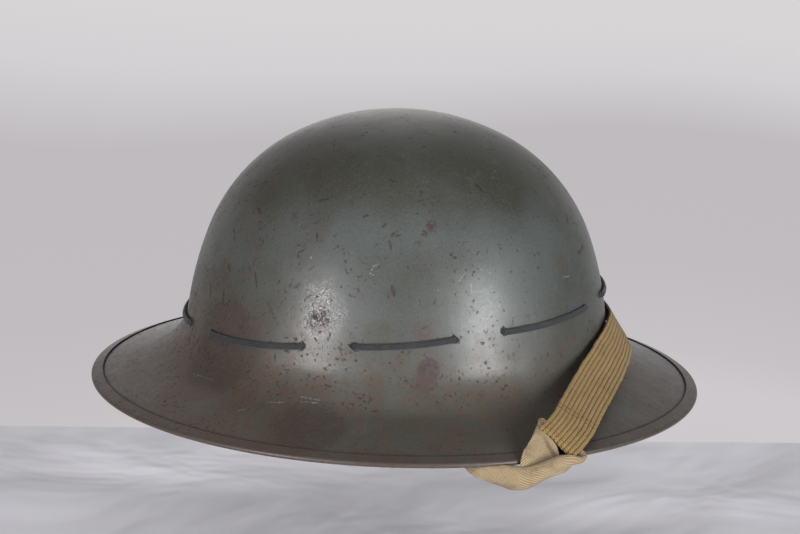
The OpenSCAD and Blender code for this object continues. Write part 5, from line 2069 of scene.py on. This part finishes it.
@dataclass
class TieTape:
    """The cotton tape that ties one end of the strap, rolled under the brim."""

    wardrobe: Wardrobe
    strap: ChinStrap
    side: Side
    steps: int = 12
    sides: int = 72
    wrap: float = 34.0
    lap: float = 0.75
    crease_d: float = 1.0
    lip_h: float = 0.45
    leg: tuple = (
        (90, 0.034, 1, 2.4, 4.2, 1, 0, 0), (90, 0.07, 0.99, 2.4, 4.2, 1, 0, 0), (89.6, 0.147, 0.864, 4, 3.4, 1, 0, 0),
        (87.4, 0.285, 0.614, 8, 2.8, 1, -0.3, 0), (84.4, 0.489, 0.386, 9, 2.8, 1, -0.6, 0),
        (81.8, 0.683, 0.164, 8, 3, 0.8, -1, 0), (79.6, 0.8, -0.03, 6, 3.4, 0.3, -1, 0))
    roll: tuple = (
        (77.7, -3.6, -2.4, 4.8, 4.8, 0, -1, 0), (75.8, -2, -2.9, 6, 7.2, 0, -1, 0),
        (73.5, -0.6, -4.2, 7.6, 9.6, 0, -1, 0), (71, 1.2, -5.2, 9.4, 12.2, 0, -1, 0),
        (68.5, 4.4, -4.7, 8.4, 10.2, 0, -1, 0), (66, 6.7, -1.9, 7.8, 8, 0, -1, 0),
        (64, 8, -0.1, 7.4, 7.6, 0, -1, 0), (62.2, 9.2, 1.5, 7.2, 7.6, 0, -1, 0),
        (60.6, 10.6, 3, 5.8, 5.8, 0, -1, 0), (59.2, 11.4, 2.9, 4, 4, 0.2, -1, 0),
        (57.9, 9.8, 2.2, 3, 3, 0.5, -1, 0.3))
    fold: tuple = (
        (65.9, -11.2, 14.2, 3, 2, -0.7, -0.7, 0.2), (66.1, -8.6, 13.3, 4, 2, -1, -0.2, 0.2),
        (66, -4.8, 11.6, 7.4, 1.9, -1, 0, 0.15), (65.9, -2.8, 9.1, 12, 1.8, -1, 0.1, 0.05),
        (65.8, -0.9, 6.2, 16.2, 1.8, -1, 0.3, -0.05), (65.9, 0.7, 3.3, 19, 1.7, -1, 0.42, -0.1),
        (66, 1.6, 0.3, 21, 1.5, -1, 0.42, -0.1), (66.1, 1.2, -2.7, 21, 1.2, -1, 0.42, -0.1))

    def pinch(self, rings: np.ndarray, out: np.ndarray) -> np.ndarray:
        """How the crease is pressed into the fold's outer face.

        Args:
            rings: The fold's rings.
            out: Their outward directions.

        Returns:
            The shift of every point.
        """
        spot = rings[..., [0, 2]]
        near = np.full(spot.shape[:-1], 99.0)
        for a, b in zip(np.array(FORM.crease), np.array(FORM.crease[1:])):
            share = np.clip((spot - a) @ (b - a) / ((b - a) @ (b - a)), 0, 1)
            near = np.minimum(near, np.linalg.norm(spot - a - share[..., None] * (b - a), axis=-1))
        deep = self.crease_d * np.exp(-(near / 0.7) ** 2) - self.lip_h * np.exp(-((near - 1.8) / 0.8) ** 2)
        return -(deep * np.clip(out[..., 1] * 1.6 - 0.3, 0, 1))[..., None] * out

    def route(self) -> np.ndarray:
        """The tape's stations, on the left side.

        Returns:
            Rows of place, width, thickness and the width's direction.
        """
        line, w, n, t = self.strap.frames()
        i = len(line) - 1 - round(self.strap.steps / 3)
        fold = (self.strap.slot_h + self.strap.thick) / 2
        middle = line[i] - fold * n[i]
        thread = []
        for s in (1, 0, -1):
            p = middle + s * (self.strap.width / 2 + 0.6) * w[i]
            thread.append((p[0], -p[1], p[2], 4, self.strap.slot_h - 0.4, -t[i][0], t[i][1], -t[i][2]))
        rows = []
        for kind, stations in (("leg", self.leg), ("edge", self.roll), ("thread", thread), ("edge", self.fold)):
            for a, b, c, *rest in stations:
                x = FORM.reach * cos(radians(a))
                brim = FORM.oval * FORM.reach * sin(radians(a))
                rows.append({"leg": (x, FORM.pocket + (brim - FORM.pocket) * b, FORM.tie_h * c, *rest),
                             "edge": (x, brim + b, c, *rest), "thread": (a, b, c, *rest)}[kind])
        return smooth(np.array(rows), self.steps)

    def build(self) -> None:
        """Builds the tape with its rolled, folded and twisted parts."""
        rows = self.route()
        path = rows[:, :3]
        t = headings(path)
        hint = rows[:, 5:8]
        u = unit(hint - np.einsum("ij,ij->i", hint, t)[:, None] * t)
        w = np.cross(t, u)
        s = lengths(path)
        a = 2 * pi * np.arange(self.sides) / self.sides
        flat = np.clip(1 - np.minimum(rows[:, 3], rows[:, 4]) / np.maximum(rows[:, 3], rows[:, 4]), 0, 1)
        power = 1 - 0.45 * flat[:, None]
        ca = np.sign(np.cos(a))[None] * np.abs(np.cos(a))[None] ** power
        sa = np.sign(np.sin(a))[None] * np.abs(np.sin(a))[None] ** power
        spiral = (a[None] / pi + s[:, None] / self.wrap) % 1.0
        step = np.where(spiral < 0.9, spiral / 0.9, (1 - spiral) / 0.1)
        thick = np.minimum(rows[:, 3], rows[:, 4])[:, None]
        rings = (path[:, None] + (ca * rows[:, 3:4] / 2)[..., None] * u[:, None]
                 + (sa * rows[:, 4:5] / 2)[..., None] * w[:, None])
        out = unit(rings - path[:, None])
        crease = wobble(np.stack([np.broadcast_to(s[:, None], spiral.shape) * 0.35,
                                  np.cos(a)[None] * 3 + 0 * s[:, None], np.sin(a)[None] * 3 + 0 * s[:, None]], -1),
                        2.2, 3.0 + self.side.value)
        rings += out * (crease * np.clip(thick * 0.045, 0.05, 0.34))[..., None]
        rings += out * (wobble(rings, 2.4, 8.0 + self.side.value) * 0.1)[..., None]
        rings += out * ((step - 0.5) * self.lap * np.clip((thick - 3) / 3, 0, 1))[..., None]
        first = (len(self.leg) + len(self.roll) + 3) * self.steps
        rings[first:] += self.pinch(rings[first:], out[first:])
        if self.side is Side.RIGHT:
            rings = rings * (1, -1, 1)
        rings[..., 2] = np.maximum(rings[..., 2], -RIM_Z)
        girth = np.linalg.norm(np.diff(np.concatenate([rings, rings[:, :1]], 1), axis=1), axis=-1)
        round_it = np.concatenate([np.zeros((len(s), 1)), np.cumsum(girth, 1)], 1)
        body = Maker.skin("tie_body", rings, Maker.uv(s, round_it))
        piece = Maker.join("tie_" + self.side.word, [body, self.root()])
        self.wardrobe.wear(piece, Slot.TAPE, STRAP, "tie_tape_" + self.side.word)

    def root(self) -> Piece:
        """The knotted end behind the eyelet, with the neck through it.

        Returns:
            The piece.
        """
        start = FORM.pocket
        end = FORM.head_b / FORM.head_a * (FORM.head_a + FORM.band_t) + 2.5
        rows = [(0.02, start), (3.6, start), (4.1, start + 0.3), (3.9, start + 0.9), (2.5, start + 1.1),
                (2.35, start + 1.6), (2.35, end - 0.6), (2.0, end), (0.02, end)]
        a = np.linspace(0, 2 * pi, 29)[:-1]
        sign = self.side.value
        rings = np.array([[(r * cos(b), sign * y, FORM.tie_h + r * sin(b)) for b in a] for r, y in rows])
        return Maker.skin("tie_root", rings)


# ---- the room


@dataclass(frozen=True)
class Softbox:
    """An area light that faces the helmet; angles in degrees, sizes in metres, its power in watts."""

    name: str
    azimuth: float
    elevation: float
    distance: float
    size: tuple[float, float]
    power: float
    tint: tuple[float, float, float] = (1.0, 1.0, 1.0)
    spread: float = 180.0

    def light(self) -> None:
        """Sets the light."""
        a, e = radians(self.azimuth), radians(self.elevation)
        way = Vector((sin(a) * cos(e), -cos(a) * cos(e), sin(e)))
        data = bpy.data.lights.new(self.name, "AREA")
        data.shape, (data.size, data.size_y) = "RECTANGLE", self.size
        data.energy, data.color, data.spread = self.power, self.tint, radians(self.spread)
        made = link(self.name, data)
        made.location = Vector((0, 0, 0.07)) + way * self.distance
        made.rotation_mode = "QUATERNION"
        made.rotation_quaternion = way.to_track_quat("Z", "Y")


@dataclass
class Studio:
    """Camera, soft lights, pale floor and pale wall."""

    elevation: float = 14.04
    azimuth: float = 2.4
    roll: float = 2.07
    distance: float = 1200.0
    focal: float = 2357.0
    target: tuple = (0.67, 0.0, 58.2)
    floor_drop: float = 110.0
    floor_back: float = 276.0
    floor_reach: float = 900.0
    floor_steps: int = 60
    sensor: float = 36.0
    picture_w: int = 800
    fold_h: float = 3.6
    boxes: tuple = (
        Softbox("left_box", -41, 0, 1.5, (0.5, 0.85), 4.3, (1.0, 0.98, 0.98), 70),
        Softbox("right_box", 42, 2, 1.5, (0.5, 0.85), 5.4, (0.98, 0.99, 1.0), 70),
        Softbox("top_fill", 0, 65, 1.8, (1.6, 1.6), 6))

    def camera(self) -> None:
        """Sets the camera where the photograph was taken."""
        e, a, r = (radians(v) for v in (self.elevation, self.azimuth, self.roll))
        d = np.array([sin(a) * cos(e), cos(a) * cos(e), -sin(e)])
        right = np.array([cos(a), -sin(a), 0.0])
        up = np.cross(right, d)
        x = cos(r) * right + sin(r) * up
        y = -sin(r) * right + cos(r) * up
        spot = (np.array(self.target) + (0, 0, RIM_Z) - self.distance * d) * MM
        data = bpy.data.cameras.new("camera")
        data.sensor_width = self.sensor
        data.lens = self.sensor * self.focal / self.picture_w
        data.clip_start, data.clip_end = 0.01, 50.0
        made = link("camera", data)
        made.matrix_world = Matrix.Translation(Vector(spot)) @ Matrix((x, y, -d)).transposed().to_4x4()
        bpy.context.scene.camera = made

    def world(self) -> None:
        """Sets the pale wall that the camera and gloss see, and the room's soft light."""
        world = bpy.data.worlds.new("room")
        bpy.context.scene.world = world
        world.use_nodes = True
        b = Book(world.node_tree)
        toward = b.node("ShaderNodeTexCoord", out="Generated")
        aside, ahead, height = b.split(toward)
        drift = b.node("ShaderNodeTexNoise", None, {"Vector": toward, "Scale": 3.2, "Detail": 0.0}, "Fac")
        wall = b.node("ShaderNodeValToRGB", {"stops": [
            (0.0, (200, 196, 199)), (0.143, (206, 201, 205)), (0.161, (198, 194, 197)),
            (0.202, (192, 188, 191)), (0.262, (191, 187, 190)), (0.288, (211, 208, 211)),
            (0.31, (216, 213, 215)), (1.0, (214, 211, 214))]}, {0: height + drift * 0.1 + 0.4})
        rays = b.node("ShaderNodeLightPath").socket.node
        camera, gloss, clear = (Val(b, rays.outputs[f"Is {kind} Ray"])
                                for kind in ("Camera", "Glossy", "Transmission"))
        behind = b.rise(ahead, 0.35, 0.95)
        above = b.node("ShaderNodeMapRange", {"interpolation_type": "SMOOTHSTEP"},
                       {"Value": aside.size(), "From Min": 0.3, "From Max": 0.0})
        bright = b.blend(above, wall, (1.9, 1.85, 1.85, 1))
        shown = b.blend(camera, b.blend(behind, (0.05, 0.05, 0.052, 1), bright), wall)
        seen = most((camera, gloss, clear))
        view = b.node("ShaderNodeBackground", None, {"Color": shown, "Strength": 1.0})
        light = b.node("ShaderNodeBackground", None, {"Color": (0.95, 0.97, 1.0, 1.0), "Strength": 0.46})
        mixed = b.node("ShaderNodeMixShader", None, {0: seen, 1: light, 2: view})
        b.node("ShaderNodeOutputWorld", None, {"Surface": mixed})

    def floor(self) -> None:
        """Lays the pale cloth that the helmet's stand would be on."""
        n = self.floor_steps
        x = np.linspace(-self.floor_reach, self.floor_reach, n)
        y = np.linspace(-self.floor_reach, self.floor_back, n)
        grid = np.array([[(a, b, -self.floor_drop - RIM_Z) for a in x] for b in y])
        grid[..., 2] += wobble(grid * (0.35, 1.6, 0), 90.0, 6.0) * self.fold_h
        points = grid.reshape(-1, 3)
        faces = [(i * n + j, i * n + j + 1, (i + 1) * n + j + 1, (i + 1) * n + j)
                 for i in range(n - 1) for j in range(n - 1)]
        made = Maker.mesh("pale_cloth", points, faces)
        k = Paint("pale_cloth")
        p = k.place()
        fold = k.cloud(p, 130, 3, 0.5, 0.6)
        # painted light and shade of the folds: the cloth is lighter where the fold noise is high, as the bump raises
        # it, and darker in the hollows
        colour = k.blend(fold, (192, 188, 193), (243, 241, 246))
        cloth = k.node("ShaderNodeBsdfPrincipled", None, {
            "Base Color": colour, "Roughness": 0.9, "Normal": k.bump(fold, 9.0)})
        under = k.node("ShaderNodeNewGeometry", out="Backfacing")
        clear = k.node("ShaderNodeBsdfTransparent", None, {})
        k.node("ShaderNodeOutputMaterial", None, {
            "Surface": k.node("ShaderNodeMixShader", None, {0: under, 1: cloth, 2: clear})})
        made.data.materials.append(k.material)

    def build(self) -> None:
        """Builds the room."""
        bpy.context.scene.view_settings.view_transform = "Standard"
        self.camera()
        for box in self.boxes:
            box.light()
        self.world()
        self.floor()


def main() -> None:
    """Builds every sub-assembly in order."""
    logging.basicConfig(level=logging.INFO, format="%(name)s: %(message)s")
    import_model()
    Studio().build()
    wardrobe = Wardrobe()
    stitches, thread = Trees.stitches(), Trees.thread()
    Steel(wardrobe, Trees.lathe()).build()
    Lacing(wardrobe).build()
    cradle = Cradle(wardrobe, stitches, thread)
    cradle.build()
    Headband(wardrobe, cradle, stitches).build()
    strap = ChinStrap(wardrobe, stitches)
    strap.build()
    for side in Side:
        TieTape(wardrobe, strap, side).build()


if __name__ == "__main__":
    main()
